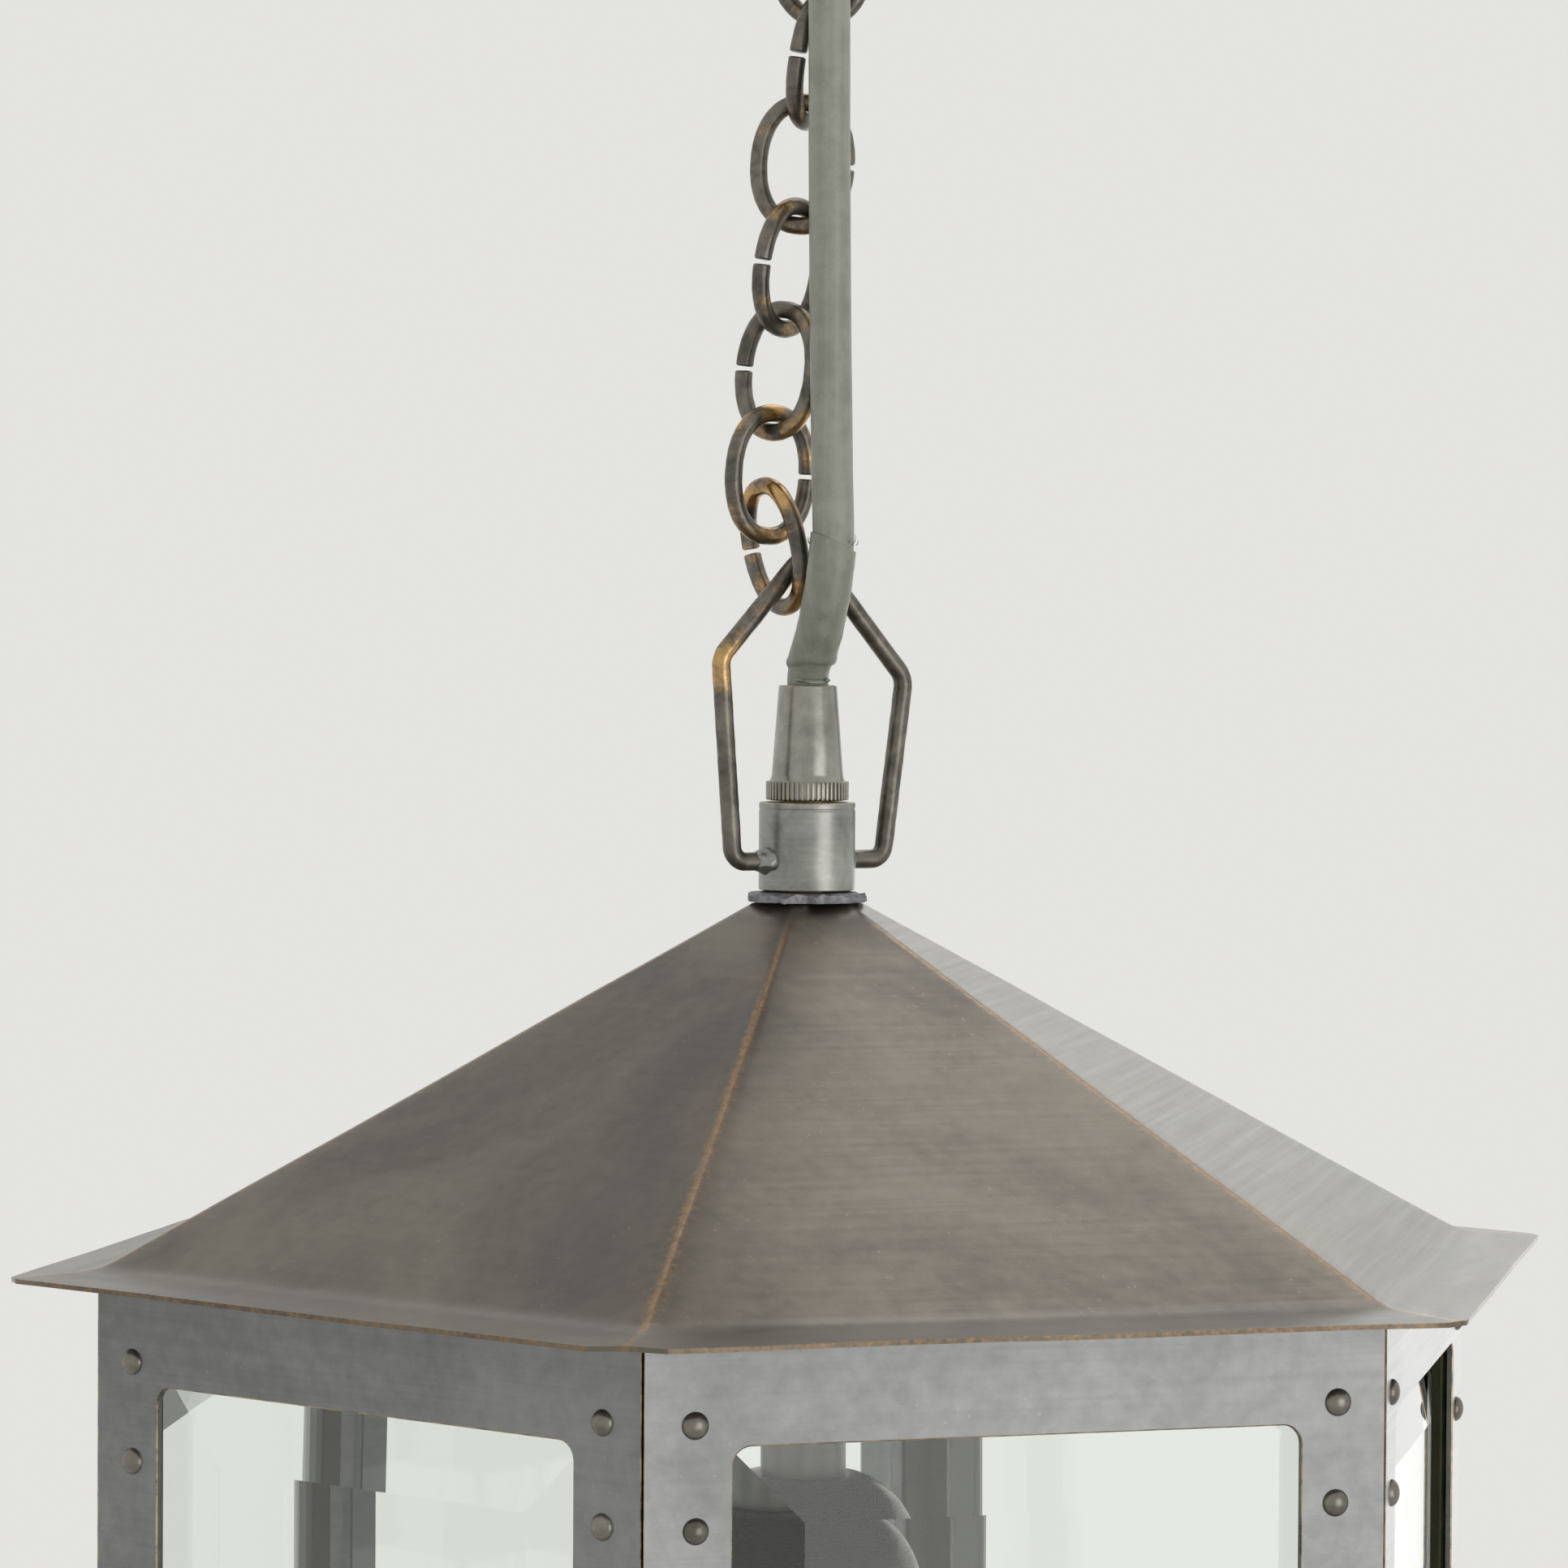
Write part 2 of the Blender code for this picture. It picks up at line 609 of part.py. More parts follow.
def chain():
    """Links 8 to 2 hang one in the other, and link 1 hooks the bail."""
    for index, (centre, lean, turn, flip) in enumerate(CHAIN):
        name = "chain_link_" + str(len(CHAIN) + 1 - index)
        chain_link(name, centre, lean, turn, flip, WORN_BRASS)
    chain_link("chain_link_1", BOTTOM_LINK, BOTTOM_LINK_LEAN, BOTTOM_LINK_TURN, 1, WORN_BRASS)


def flex_line(route):
    """World points of a flex route."""
    return [
        chain_direction(across, toward) + Vector((0.0, 0.0, COLLAR_TOP + rise))
        for across, toward, rise in route
    ]


def flex():
    """The round flex in two stretches, and the sleeve that enters the grip."""
    line = smooth_route(flex_line(FLEX_ROUTE), FLEX_RADIUS * 2.0)
    split_z = COLLAR_TOP + FLEX_SPLIT
    upper = [point for point in line if point.z > split_z + GAP]
    lower = [point for point in line if point.z < split_z - GAP]
    joint = upper[-1].lerp(lower[0], (upper[-1].z - split_z) / (upper[-1].z - lower[0].z))
    half_gap = Vector((0.0, 0.0, GAP / 2.0))
    place(wire("flex_upper", upper + [joint + half_gap], FLEX_RADIUS), "flex_upper", PVC)
    place(wire("flex_main", [joint - half_gap] + lower, FLEX_RADIUS), "flex_main", PVC)
    sleeve = smooth_route(flex_line(SLEEVE_ROUTE), SLEEVE_RADIUS)
    place(wire("cord_sleeve", sleeve, SLEEVE_RADIUS), "cord_sleeve", PVC)


# ---------------------------------------------------------------- bail, collar and grip


def bail_points():
    """Centre line of the bent rod, in the XZ plane, from one foot to the other."""
    foot_z = COLLAR_TOP - BAIL_FOOT_DROP
    inner = COLLAR_RADIUS - BAIL_FOOT_DEPTH
    slopes = [out / (CROWN_Z - COLLAR_TOP - rise) for _elbow, out, rise in BAIL_SIDES]
    slope = sum(slopes) / 2.0
    sharp = BAIL_BEND * (1.0 / math.sin(math.atan(slope)) - 1.0)
    crown = (0.0, 0.0, CROWN_Z + sharp)
    left, right = BAIL_SIDES
    points = [
        (-inner, 0.0, foot_z), (-left[0], 0.0, foot_z), (-left[1], 0.0, COLLAR_TOP + left[2]),
        crown,
        (right[1], 0.0, COLLAR_TOP + right[2]), (right[0], 0.0, foot_z), (inner, 0.0, foot_z),
    ]
    return rounded(points, (BAIL_ELBOW, BAIL_BEND, BAIL_BEND, BAIL_BEND, BAIL_ELBOW))


def collar_group():
    """Bail, collar, washer, cord grip and the threaded tube through them."""
    turn = Matrix.Rotation(BAIL_TURN, 4, "Z")
    rod = wire("bail_loop", [turn @ point for point in bail_points()], BAIL_ROD / 2.0)
    place(rod, "bail_loop", WORN_BRASS)

    bore = THREAD_RADIUS + GAP
    bottom = COLLAR_TOP - COLLAR_HEIGHT
    body = turned("collar_tube", ring_profile(COLLAR_RADIUS, bore, COLLAR_TOP, bottom, 0.0004), 32)
    reach = COLLAR_RADIUS * 2.0
    foot_z = COLLAR_TOP - BAIL_FOOT_DROP
    for side in (-1.0, 1.0):
        start = turn @ Vector((side * (COLLAR_RADIUS - BAIL_FOOT_DEPTH - GAP), 0.0, foot_z))
        end = turn @ Vector((side * reach, 0.0, foot_z))
        drill = baked(wire("foot_drill", [start, end], BAIL_ROD / 2.0 + GAP, 3))
        boolean(body, as_cutter(drill), "DIFFERENCE")
    place(body, "collar_tube", AGED_BRASS)

    low = WASHER_TOP - WASHER_THICK
    washer = turned("apex_washer", ring_profile(WASHER_RADIUS, bore, WASHER_TOP, low, 0.0004), 32)
    place(washer, "apex_washer", SOLDER)

    base = COLLAR_TOP + GAP
    top = COLLAR_TOP + GRIP_HEIGHT
    knurl_top = base + KNURL_HEIGHT
    lip = 0.0006
    inner_top = base + SCREWED_IN + 2.0 * GAP
    grip = [
        (GRIP_BORE, top), (GRIP_TOP_RADIUS - lip, top), (GRIP_TOP_RADIUS, top - lip),
        (GRIP_BASE_RADIUS, knurl_top + KNURL_SHOULDER), (KNURL_RADIUS - 0.0004, knurl_top),
        (KNURL_RADIUS, knurl_top - 0.0004), (KNURL_RADIUS, base + 0.0004),
        (KNURL_RADIUS - 0.0004, base), (bore, base), (bore, inner_top), (GRIP_BORE, inner_top),
    ]
    place(turned("cord_grip", grip, 28), "cord_grip", AGED_BRASS)

    thread = ring_profile(THREAD_RADIUS, THREAD_BORE, THREAD_TOP, THREAD_BOTTOM, 0.0002)
    place(turned("thread_tube", thread, 20), "thread_tube", WORN_BRASS)
    lead = cylinder_profile(LEAD_RADIUS, THREAD_TOP - GAP, THREAD_BOTTOM + GAP)
    place(turned("inner_lead", lead, 12, False), "inner_lead", PVC)


def ring_profile(outer, inner, top, bottom, chamfer):
    """Closed section of a ring with its outer edges broken."""
    return [
        (inner, top), (outer - chamfer, top), (outer, top - chamfer),
        (outer, bottom + chamfer), (outer - chamfer, bottom), (inner, bottom),
    ]


# ---------------------------------------------------------------- roof


def hexagon_shell(name, rings, wall, hole):
    """Open hexagonal shell through rings of (radius, height), given its wall inwards."""
    work = bmesh.new()
    loops = []
    for radius, height in rings:
        turn = Matrix.Rotation(HALF_STEP, 4, "Z")
        made = bmesh.ops.create_circle(work, segments=SIDES, radius=radius, cap_ends=False,
                                       matrix=Matrix.Translation((0.0, 0.0, height)) @ turn)
        loops.append(made["verts"])
    for upper, lower in zip(loops, loops[1:]):
        ring = [edge for edge in work.edges
                if (edge.verts[0] in upper and edge.verts[1] in upper)
                or (edge.verts[0] in lower and edge.verts[1] in lower)]
        bmesh.ops.bridge_loops(work, edges=ring)
    top = [edge for edge in work.edges if edge.verts[0] in loops[0] and edge.verts[1] in loops[0]]
    bmesh.ops.edgeloop_fill(work, edges=top)
    bmesh.ops.recalc_face_normals(work, faces=work.faces)
    if sum(face.normal.z * face.calc_area() for face in work.faces) < 0.0:
        bmesh.ops.reverse_faces(work, faces=work.faces)
    obj = mesh_object(name, work)
    bpy.context.scene.collection.objects.link(obj)
    thicken = obj.modifiers.new("wall", "SOLIDIFY")
    thicken.thickness = wall
    thicken.offset = -1.0
    thicken.use_even_offset = True
    if hole:
        top_z = rings[0][1]
        drill = turned("roof_drill", cylinder_profile(hole, top_z + 0.01, top_z - 0.01), 20, False)
        boolean(obj, as_cutter(drill), "DIFFERENCE")
    return obj


def roof():
    """Roof shell with its flared eave, and the nut that draws it up to the washer."""
    rings = (
        (ROOF_TOP_RADIUS, ROOF_TOP), (CREASE_RADIUS, EAVE_Z + CREASE_RISE), (EAVE_RADIUS, EAVE_Z),
    )
    shell = hexagon_shell("roof_shell", rings, ROOF_SHEET, THREAD_RADIUS + GAP)
    place(shell, "roof_shell", ROOF_BRASS)
    nut = hex_nut("roof_nut", ROOF_NUT_FLATS, ROOF_NUT_THICK, THREAD_RADIUS + GAP)
    middle = ROOF_NUT_TOP - ROOF_NUT_THICK / 2.0
    place(transformed(nut, Matrix.Translation((0.0, 0.0, middle))), "roof_nut", WORN_BRASS)


# ---------------------------------------------------------------- body


def rivet_places():
    """Rivet centres on a face, in the plate's own plane."""
    across = FACE_WIDTH / 2.0 - RIVET_IN
    places = []
    for side in (-1.0, 1.0):
        for end in (-1.0, 1.0):
            for count in range(2):
                up = BODY_HEIGHT / 2.0 - RIVET_FIRST - RIVET_PITCH * count
                places.append((side * across, end * up))
    return places


def rivet_heads(name):
    """The eight domed heads of a frame as one cutter, sunk a little into its sheet."""
    work = bmesh.new()
    sink = 0.0004
    for across, up in rivet_places():
        squash = Matrix.Diagonal((1.0, 1.0, (RIVET_RISE + sink) / RIVET_RADIUS, 1.0))
        matrix = Matrix.Translation((across, up, -sink)) @ squash
        made = bmesh.ops.create_uvsphere(work, u_segments=10, v_segments=6, radius=RIVET_RADIUS,
                                         matrix=matrix)
        low = [vert for vert in made["verts"] if vert.co.z < -sink - MERGE]
        bmesh.ops.delete(work, geom=low, context="VERTS")
    bmesh.ops.holes_fill(work, edges=work.edges, sides=0)
    bmesh.ops.recalc_face_normals(work, faces=work.faces)
    return mesh_object(name, work)


def mitre(obj, half_width, setback_slope):
    """Slope the two long edges of a plate inwards towards its back."""
    for vert in obj.data.vertices:
        if abs(vert.co.x) > half_width - MERGE and vert.co.z < -MERGE:
            vert.co.x -= math.copysign(-vert.co.z * setback_slope, vert.co.x)
    return obj


def frame_plate(name, half_width, is_door):
    """Face frame drawn in its own plane, front at Z 0. The door's is shorter at the top and has
    a hole for its knob."""
    low = -BODY_HEIGHT / 2.0
    high = -low - (DOOR_HEADROOM if is_door else 0.0)
    outline = [(-half_width, low), (half_width, low), (half_width, high), (-half_width, high)]
    holes = [rounded_window(WINDOW_WIDTH, WINDOW_HEIGHT, WINDOW_CORNER)]
    if is_door:
        holes.append([(KNOB_X + x, y) for x, y in polygon(KNOB_SHANK + GAP, 12)])
    sheet = plate(name, outline, SHEET, holes)
    transformed(sheet, Matrix.Translation((0.0, 0.0, -SHEET / 2.0)))
    mitre(sheet, half_width, math.tan(HALF_STEP))
    return sheet


def riveted_frame(name, index, half_width):
    """Face frame with rivet heads, on its face of the body."""
    sheet = frame_plate(name, half_width, index == DOOR_FACE)
    bpy.context.scene.collection.objects.link(sheet)
    heads = rivet_heads(name + "_rivets")
    transformed(heads, face_matrix(index))
    transformed(sheet, face_matrix(index))
    boolean(sheet, as_cutter(heads), "UNION")
    return place(sheet, name, AGED_BRASS)


def corner_post(name, index, legs):
    """Inner corner angle along the corner after a face, with its two leg lengths."""
    outer = BODY_RADIUS - POST_SETBACK / math.cos(HALF_STEP)
    inner = outer - POST_SHEET / math.cos(HALF_STEP)
    angle = STEP_ANGLE * index + HALF_STEP
    corner = Vector((math.sin(angle), -math.cos(angle), 0.0))
    before = Vector((math.cos(angle - HALF_STEP), math.sin(angle - HALF_STEP), 0.0)) * -1.0
    after = Vector((math.cos(angle + HALF_STEP), math.sin(angle + HALF_STEP), 0.0))
    first, second = legs
    points = [
        corner * outer, corner * outer + after * second, corner * inner + after * second,
        corner * inner, corner * inner + before * first, corner * outer + before * first,
    ]
    height = BODY_HEIGHT - 2.0 * (BASE_SHEET + GAP)
    post = plate(name, [(point.x, point.y) for point in points], height)
    transformed(post, Matrix.Translation((0.0, 0.0, BODY_MIDDLE)))
    place(post, name, AGED_BRASS)


def bevelled_glass(name, index, setback):
    """Glass pane with a wide outer bevel, on its face of the body."""
    work = bmesh.new()
    size = Matrix.Diagonal((GLASS_WIDTH, GLASS_HEIGHT, GLASS_THICK, 1.0))
    centre = Matrix.Translation((0.0, 0.0, -GLASS_THICK / 2.0))
    bmesh.ops.create_cube(work, size=1.0, matrix=centre @ size)
    front = [face for face in work.faces if face.normal.z > 0.9]
    bmesh.ops.inset_region(work, faces=front, thickness=GLASS_BEVEL, depth=0.0,
                           use_even_offset=True)
    flat = set(front[0].verts)
    drop = GLASS_THICK - GLASS_EDGE
    for vert in work.verts:
        if vert.co.z > -MERGE and vert not in flat:
            vert.co.z -= drop
    pane = mesh_object(name, work)
    place(transformed(pane, face_matrix(index, setback)), name, CLEAR_GLASS, sharp=1.0)


def hexagon_plate(name, outer, thick, top, inner):
    """Flat hexagonal plate below a height, with a hole of the given outline."""
    obj = plate(name, polygon(outer, SIDES, HALF_STEP), thick, [inner])
    return transformed(obj, Matrix.Translation((0.0, 0.0, top - thick / 2.0)))


def body():
    """Face frames, corner posts, glass, the inner top ring and the base."""
    half_width = FACE_WIDTH / 2.0 - GAP / 2.0 / math.cos(HALF_STEP)
    faces = [index for index in range(SIDES) if index != DOOR_FACE]
    for number, index in enumerate(faces, start=1):
        riveted_frame("face_frame_" + str(number), index, half_width)
        bevelled_glass("glass_pane_" + str(number), index, GLASS_SETBACK)
    for index in range(SIDES):
        first = DOOR_POST_LEG if index == DOOR_FACE else POST_LEG
        second = DOOR_POST_LEG if index + 1 == DOOR_FACE else POST_LEG
        corner_post("corner_post_" + str(index + 1), index, (first, second))

    setback = (POST_SETBACK + POST_SHEET + GAP + 0.0001) / math.cos(HALF_STEP)
    outer = BODY_RADIUS - setback
    ring = hexagon_plate("top_ring", outer, BASE_SHEET, BODY_TOP - BASE_SHEET,
                         polygon(outer - RING_WIDTH, SIDES, HALF_STEP))
    place(ring, "top_ring", AGED_BRASS)
    base = hexagon_plate("base_plate", BASE_RADIUS, BASE_SHEET, BODY_BOTTOM - GAP,
                         polygon(BASE_VENT_RADIUS, 32))
    place(base, "base_plate", AGED_BRASS)


# ---------------------------------------------------------------- door


def hinge_frame(side):
    """Axes at the hinge corner: origin on the hinge axis, X along a face away from the corner,
    Y out of that face. side is 1 for the door's face and -1 for the fixed face."""
    corner = Vector((math.sin(HINGE_CORNER), -math.cos(HINGE_CORNER), 0.0))
    origin = corner * HINGE_AXIS_RADIUS
    facing = HINGE_CORNER - side * HALF_STEP
    out = Vector((math.sin(facing), -math.cos(facing), 0.0))
    along = Vector((0.0, 0.0, 1.0)).cross(out) * -side
    matrix = Matrix((
        (along.x, out.x, 0.0, origin.x), (along.y, out.y, 0.0, origin.y),
        (0.0, 0.0, 1.0, 0.0), (0.0, 0.0, 0.0, 1.0),
    ))
    return matrix, corner


def hinge_leaf(name, side, top, bottom):
    """Knuckle with a leaf that lies on the outside of one stile."""
    matrix, corner = hinge_frame(side)
    origin = matrix.translation
    knuckle = turned(name, [
        (KNUCKLE_BORE, top), (KNUCKLE_RADIUS, top), (KNUCKLE_RADIUS, bottom),
        (KNUCKLE_BORE, bottom),
    ], 16, True, (origin.x, origin.y))
    knuckle = baked(knuckle)
    bpy.context.scene.collection.objects.link(knuckle)
    local = matrix.inverted()
    face_y = (local @ (corner * BODY_RADIUS)).y
    low, high = face_y + GAP, face_y + GAP + LEAF_SHEET
    start = KNUCKLE_BORE + 0.0004
    work = bmesh.new()
    size = Matrix.Diagonal((LEAF_WIDTH, high - low, top - bottom, 1.0))
    centre = Matrix.Translation((start + LEAF_WIDTH / 2.0, (low + high) / 2.0,
                                 (top + bottom) / 2.0))
    bmesh.ops.create_cube(work, size=1.0, matrix=matrix @ centre @ size)
    bmesh.ops.recalc_face_normals(work, faces=work.faces)
    leaf = mesh_object(name + "_leaf", work)
    boolean(knuckle, as_cutter(leaf), "UNION")
    return place(knuckle, name, WORN_BRASS)


def door():
    """Back door: frame, glass, two hinges with pins, a knob and its spring catch."""
    half_width = FACE_WIDTH / 2.0 - GAP / 2.0 / math.cos(HALF_STEP)
    riveted_frame("door_frame", DOOR_FACE, half_width)
    bevelled_glass("door_glass", DOOR_FACE, DOOR_GLASS_SETBACK)
    origin = hinge_frame(1)[0].translation
    middles = (BODY_TOP - HINGE_INSET, BODY_BOTTOM + HINGE_INSET)
    for name, middle in zip(("upper", "lower"), middles):
        top = middle + KNUCKLE_LENGTH + GAP / 2.0
        hinge_leaf("door_leaf_" + name, 1, top, middle + GAP / 2.0)
        hinge_leaf("frame_leaf_" + name, -1, middle - GAP / 2.0, middle - KNUCKLE_LENGTH)
        head = top + GAP
        bottom = middle - KNUCKLE_LENGTH
        pin = [
            (0.0, head + PIN_HEAD_THICK), (PIN_HEAD_RADIUS, head + PIN_HEAD_THICK * 0.6),
            (PIN_HEAD_RADIUS, head), (PIN_RADIUS, head), (PIN_RADIUS, bottom), (0.0, bottom),
        ]
        rod = turned("hinge_pin_" + name, pin, 16, False, (origin.x, origin.y))
        place(rod, "hinge_pin_" + name, WORN_BRASS)

    knob = [(0.0, KNOB_REACH)]
    knob += [(x, KNOB_REACH - KNOB_RADIUS * 0.6 + y * 0.6)
             for x, y in arc((0.0, 0.0), KNOB_RADIUS, 75.0, -60.0, 8)]
    foot = GAP
    knob += [(KNOB_SHANK * 1.4, foot + 0.001), (KNOB_SHANK * 1.9, foot + 0.0006),
             (KNOB_SHANK * 1.9, foot), (KNOB_SHANK, foot), (KNOB_SHANK, -SHEET - 0.0008),
             (0.0, -SHEET - 0.0008)]
    pull = baked(turned("door_knob", knob, 16, False))
    matrix = face_matrix(DOOR_FACE) @ Matrix.Translation((KNOB_X, 0.0, 0.0))
    place(transformed(pull, matrix), "door_knob", WORN_BRASS)

    edge = FACE_WIDTH / 2.0 - GLASS_SETBACK * math.tan(HALF_STEP) - CATCH_IN
    work = bmesh.new()
    size = Matrix.Diagonal((CATCH_WIDTH, CATCH_HEIGHT, CATCH_SHEET, 1.0))
    deep = Matrix.Translation((-(edge - CATCH_WIDTH / 2.0), CATCH_RISE,
                               -GLASS_SETBACK - CATCH_SHEET))
    bmesh.ops.create_cube(work, size=1.0, matrix=deep @ size)
    catch = mesh_object("door_catch", work)
    place(transformed(catch, face_matrix(DOOR_FACE)), "door_catch", STEEL)


# ---------------------------------------------------------------- lamp


def lamp():
    """Stem cover, bell cup, lampholder and the screw bulb."""
    tube = [
        (STEM_RADIUS - STEM_WALL, STEM_TOP), (STEM_RADIUS, STEM_TOP),
        (STEM_RADIUS, STEM_BOTTOM), (STEM_RADIUS - STEM_WALL, STEM_BOTTOM),
    ]
    place(turned("stem_tube", tube, 24), "stem_tube", AGED_BRASS)

    hole = THREAD_RADIUS + GAP
    cup_bottom = CUP_TOP - CUP_HEIGHT
    crown = STEM_RADIUS + 0.0006
    dome = [(crown + (CUP_RADIUS - crown) * math.sin(math.radians(angle)),
             CUP_TOP - CUP_SHOULDER * (1.0 - math.cos(math.radians(angle))))
            for angle in range(0, 91, 15)]
    inner = [(radius - CUP_WALL, height - CUP_WALL * 0.6) for radius, height in reversed(dome)]
    cup = [(hole, CUP_TOP)] + dome + [
        (CUP_RADIUS + 0.0006, cup_bottom), (CUP_RADIUS + 0.0006 - CUP_WALL, cup_bottom),
    ] + inner[:-1] + [(crown - CUP_WALL, CUP_TOP - CUP_WALL), (hole, CUP_TOP - CUP_WALL)]
    place(turned("lampholder_cup", cup, 24), "lampholder_cup", AGED_BRASS)

    shoulder = HOLDER_TOP - HOLDER_BOSS_HEIGHT
    low = shoulder - HOLDER_HEIGHT
    holder = [
        (hole, HOLDER_TOP), (HOLDER_BOSS_RADIUS - 0.0016, HOLDER_TOP),
        (HOLDER_BOSS_RADIUS - 0.0008, HOLDER_TOP - 0.0010),
        (HOLDER_BOSS_RADIUS, shoulder + 0.0010),
        (HOLDER_RADIUS, shoulder - 0.0030), (HOLDER_RADIUS, low), (HOLDER_BORE, low),
        (HOLDER_BORE, shoulder - HOLDER_ROOF), (hole, shoulder - HOLDER_ROOF),
    ]
    place(turned("lampholder", holder, 28), "lampholder", BAKELITE)

    cap_top = shoulder - HOLDER_ROOF - GAP
    cap_low = cap_top - CAP_HEIGHT
    cap = [
        (0.0, cap_top), (CAP_TIP_RADIUS, cap_top), (CAP_TIP_RADIUS + 0.001, cap_top - 0.0016),
        (CAP_RADIUS - 0.002, cap_top - 0.0035), (CAP_RADIUS, cap_top - 0.0060),
        (CAP_RADIUS, cap_low), (0.0, cap_low),
    ]
    place(turned("bulb_cap", cap, 24, False), "bulb_cap", STEEL)

    neck_top = cap_low - GAP
    centre = neck_top - (BULB_LENGTH - BULB_RADIUS)
    bulb = [(0.0, neck_top), (BULB_NECK_RADIUS, neck_top), (BULB_NECK_RADIUS, neck_top - 0.006)]
    for angle in (38, 20, 0, -20, -40, -60, -78):
        bulb.append((BULB_RADIUS * math.cos(math.radians(angle)),
                     centre + BULB_RADIUS * math.sin(math.radians(angle))))
    bulb.append((0.0, centre - BULB_RADIUS))
    place(turned("bulb_glass", bulb, 24, False), "bulb_glass", CLEAR_GLASS)


ceiling_fitting()
chain()
flex()
collar_group()
roof()
body()
door()
lamp()
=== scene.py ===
"""Six-sided hanging lantern in patinated brass, with its bail, chain, flex and ceiling fitting.

Every size is in metres. The frame's origin is the centre of the ceiling face, +Z is up and a
glazed face of the body looks along -Y.
"""

from __future__ import annotations

import logging
import math
import random
from dataclasses import dataclass
from enum import Enum
from typing import Callable, Iterable, Sequence

import bmesh
import bpy
from mathutils import Matrix, Vector, noise


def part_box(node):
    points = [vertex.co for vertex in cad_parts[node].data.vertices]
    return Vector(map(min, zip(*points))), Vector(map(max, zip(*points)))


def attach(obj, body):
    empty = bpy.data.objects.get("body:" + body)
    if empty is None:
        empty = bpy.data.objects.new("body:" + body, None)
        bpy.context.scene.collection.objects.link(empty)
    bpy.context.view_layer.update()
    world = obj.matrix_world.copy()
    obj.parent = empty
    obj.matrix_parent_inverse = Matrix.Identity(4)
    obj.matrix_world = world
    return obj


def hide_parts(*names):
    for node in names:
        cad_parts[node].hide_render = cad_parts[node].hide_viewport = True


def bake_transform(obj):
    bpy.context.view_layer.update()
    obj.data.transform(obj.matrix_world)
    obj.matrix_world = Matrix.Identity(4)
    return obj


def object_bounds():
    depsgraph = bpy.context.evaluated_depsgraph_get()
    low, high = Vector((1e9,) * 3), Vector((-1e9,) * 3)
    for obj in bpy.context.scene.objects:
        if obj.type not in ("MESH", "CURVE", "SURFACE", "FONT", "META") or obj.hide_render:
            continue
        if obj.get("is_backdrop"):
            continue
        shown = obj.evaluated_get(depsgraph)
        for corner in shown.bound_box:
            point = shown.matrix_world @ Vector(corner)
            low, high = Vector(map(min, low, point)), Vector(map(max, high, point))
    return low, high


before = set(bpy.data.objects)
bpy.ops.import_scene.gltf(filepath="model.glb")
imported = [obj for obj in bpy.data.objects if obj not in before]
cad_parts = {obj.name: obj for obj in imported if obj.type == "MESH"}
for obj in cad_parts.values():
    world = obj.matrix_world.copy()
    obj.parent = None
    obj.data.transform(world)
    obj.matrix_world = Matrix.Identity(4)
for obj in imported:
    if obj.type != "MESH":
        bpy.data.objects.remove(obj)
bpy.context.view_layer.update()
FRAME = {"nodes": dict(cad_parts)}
LOG = logging.getLogger("hanging_lantern")

CLEARANCE = 0.0003
SIDES = 6
STEP = math.tau / SIDES
HALF_STEP = STEP / 2.0
BODY_RADIUS = 0.1390
FACE_APOTHEM = BODY_RADIUS * math.cos(HALF_STEP)
FACE_WIDTH = 2.0 * BODY_RADIUS * math.sin(HALF_STEP)
CHAIN_TURN = math.radians(-18.5)
CHAIN_WIRE = 0.0034
HOOK_RADIUS = 0.0025
HOOK_DROP = 0.07511

Colour = tuple[float, float, float]
Profile = Sequence[tuple[float, float]]
Wear = Callable[[Vector], float]


class Body(Enum):
    """Moving bodies of the lantern, by the names that the frame gives them."""

    CEILING = "root"
    TOP_LINK = "top_link"
    CHAIN = "chain"
    BOTTOM_LINK = "bottom_link"
    LANTERN = "lantern"
    GRIP = "grip"
    DOOR = "door"
    BULB = "bulb"


class Grain(Enum):
    """How a metal was brushed, as the stretch of its scratch pattern along X, Y and Z."""

    LEVEL = (14.0, 14.0, 1500.0)
    UPRIGHT = (900.0, 900.0, 12.0)
    NONE = (420.0, 420.0, 420.0)


# ---------------------------------------------------------------- shader maths


class Amount:
    """One number that changes over a surface, on which Python's operators work."""

    def __init__(self, board: Board, socket: bpy.types.NodeSocket) -> None:
        """Keep the socket and the board that its maths is added to."""
        self.board = board
        self.socket = socket

    def __add__(self, other: Amount | float) -> Amount:
        """Sum."""
        return self.board.maths("ADD", self, other)

    __radd__ = __add__

    def __sub__(self, other: Amount | float) -> Amount:
        """Difference."""
        return self.board.maths("SUBTRACT", self, other)

    def __rsub__(self, other: Amount | float) -> Amount:
        """Reflected difference."""
        return self.board.maths("SUBTRACT", other, self)

    def __mul__(self, other: Amount | float) -> Amount:
        """Product."""
        return self.board.maths("MULTIPLY", self, other)

    __rmul__ = __mul__

    def step(self, low: float, high: float) -> Amount:
        """Smooth step from 0 at low to 1 at high."""
        made = self.board.node(
            "ShaderNodeMapRange",
            {"interpolation_type": "SMOOTHSTEP", "clamp": True},
            {"Value": self, "From Min": low, "From Max": high},
        )
        return Amount(self.board, made.outputs["Result"])

    def at_most(self, other: Amount | float) -> Amount:
        """The lesser of two values."""
        return self.board.maths("MINIMUM", self, other)

    def at_least(self, other: Amount | float) -> Amount:
        """The greater of two values."""
        return self.board.maths("MAXIMUM", self, other)


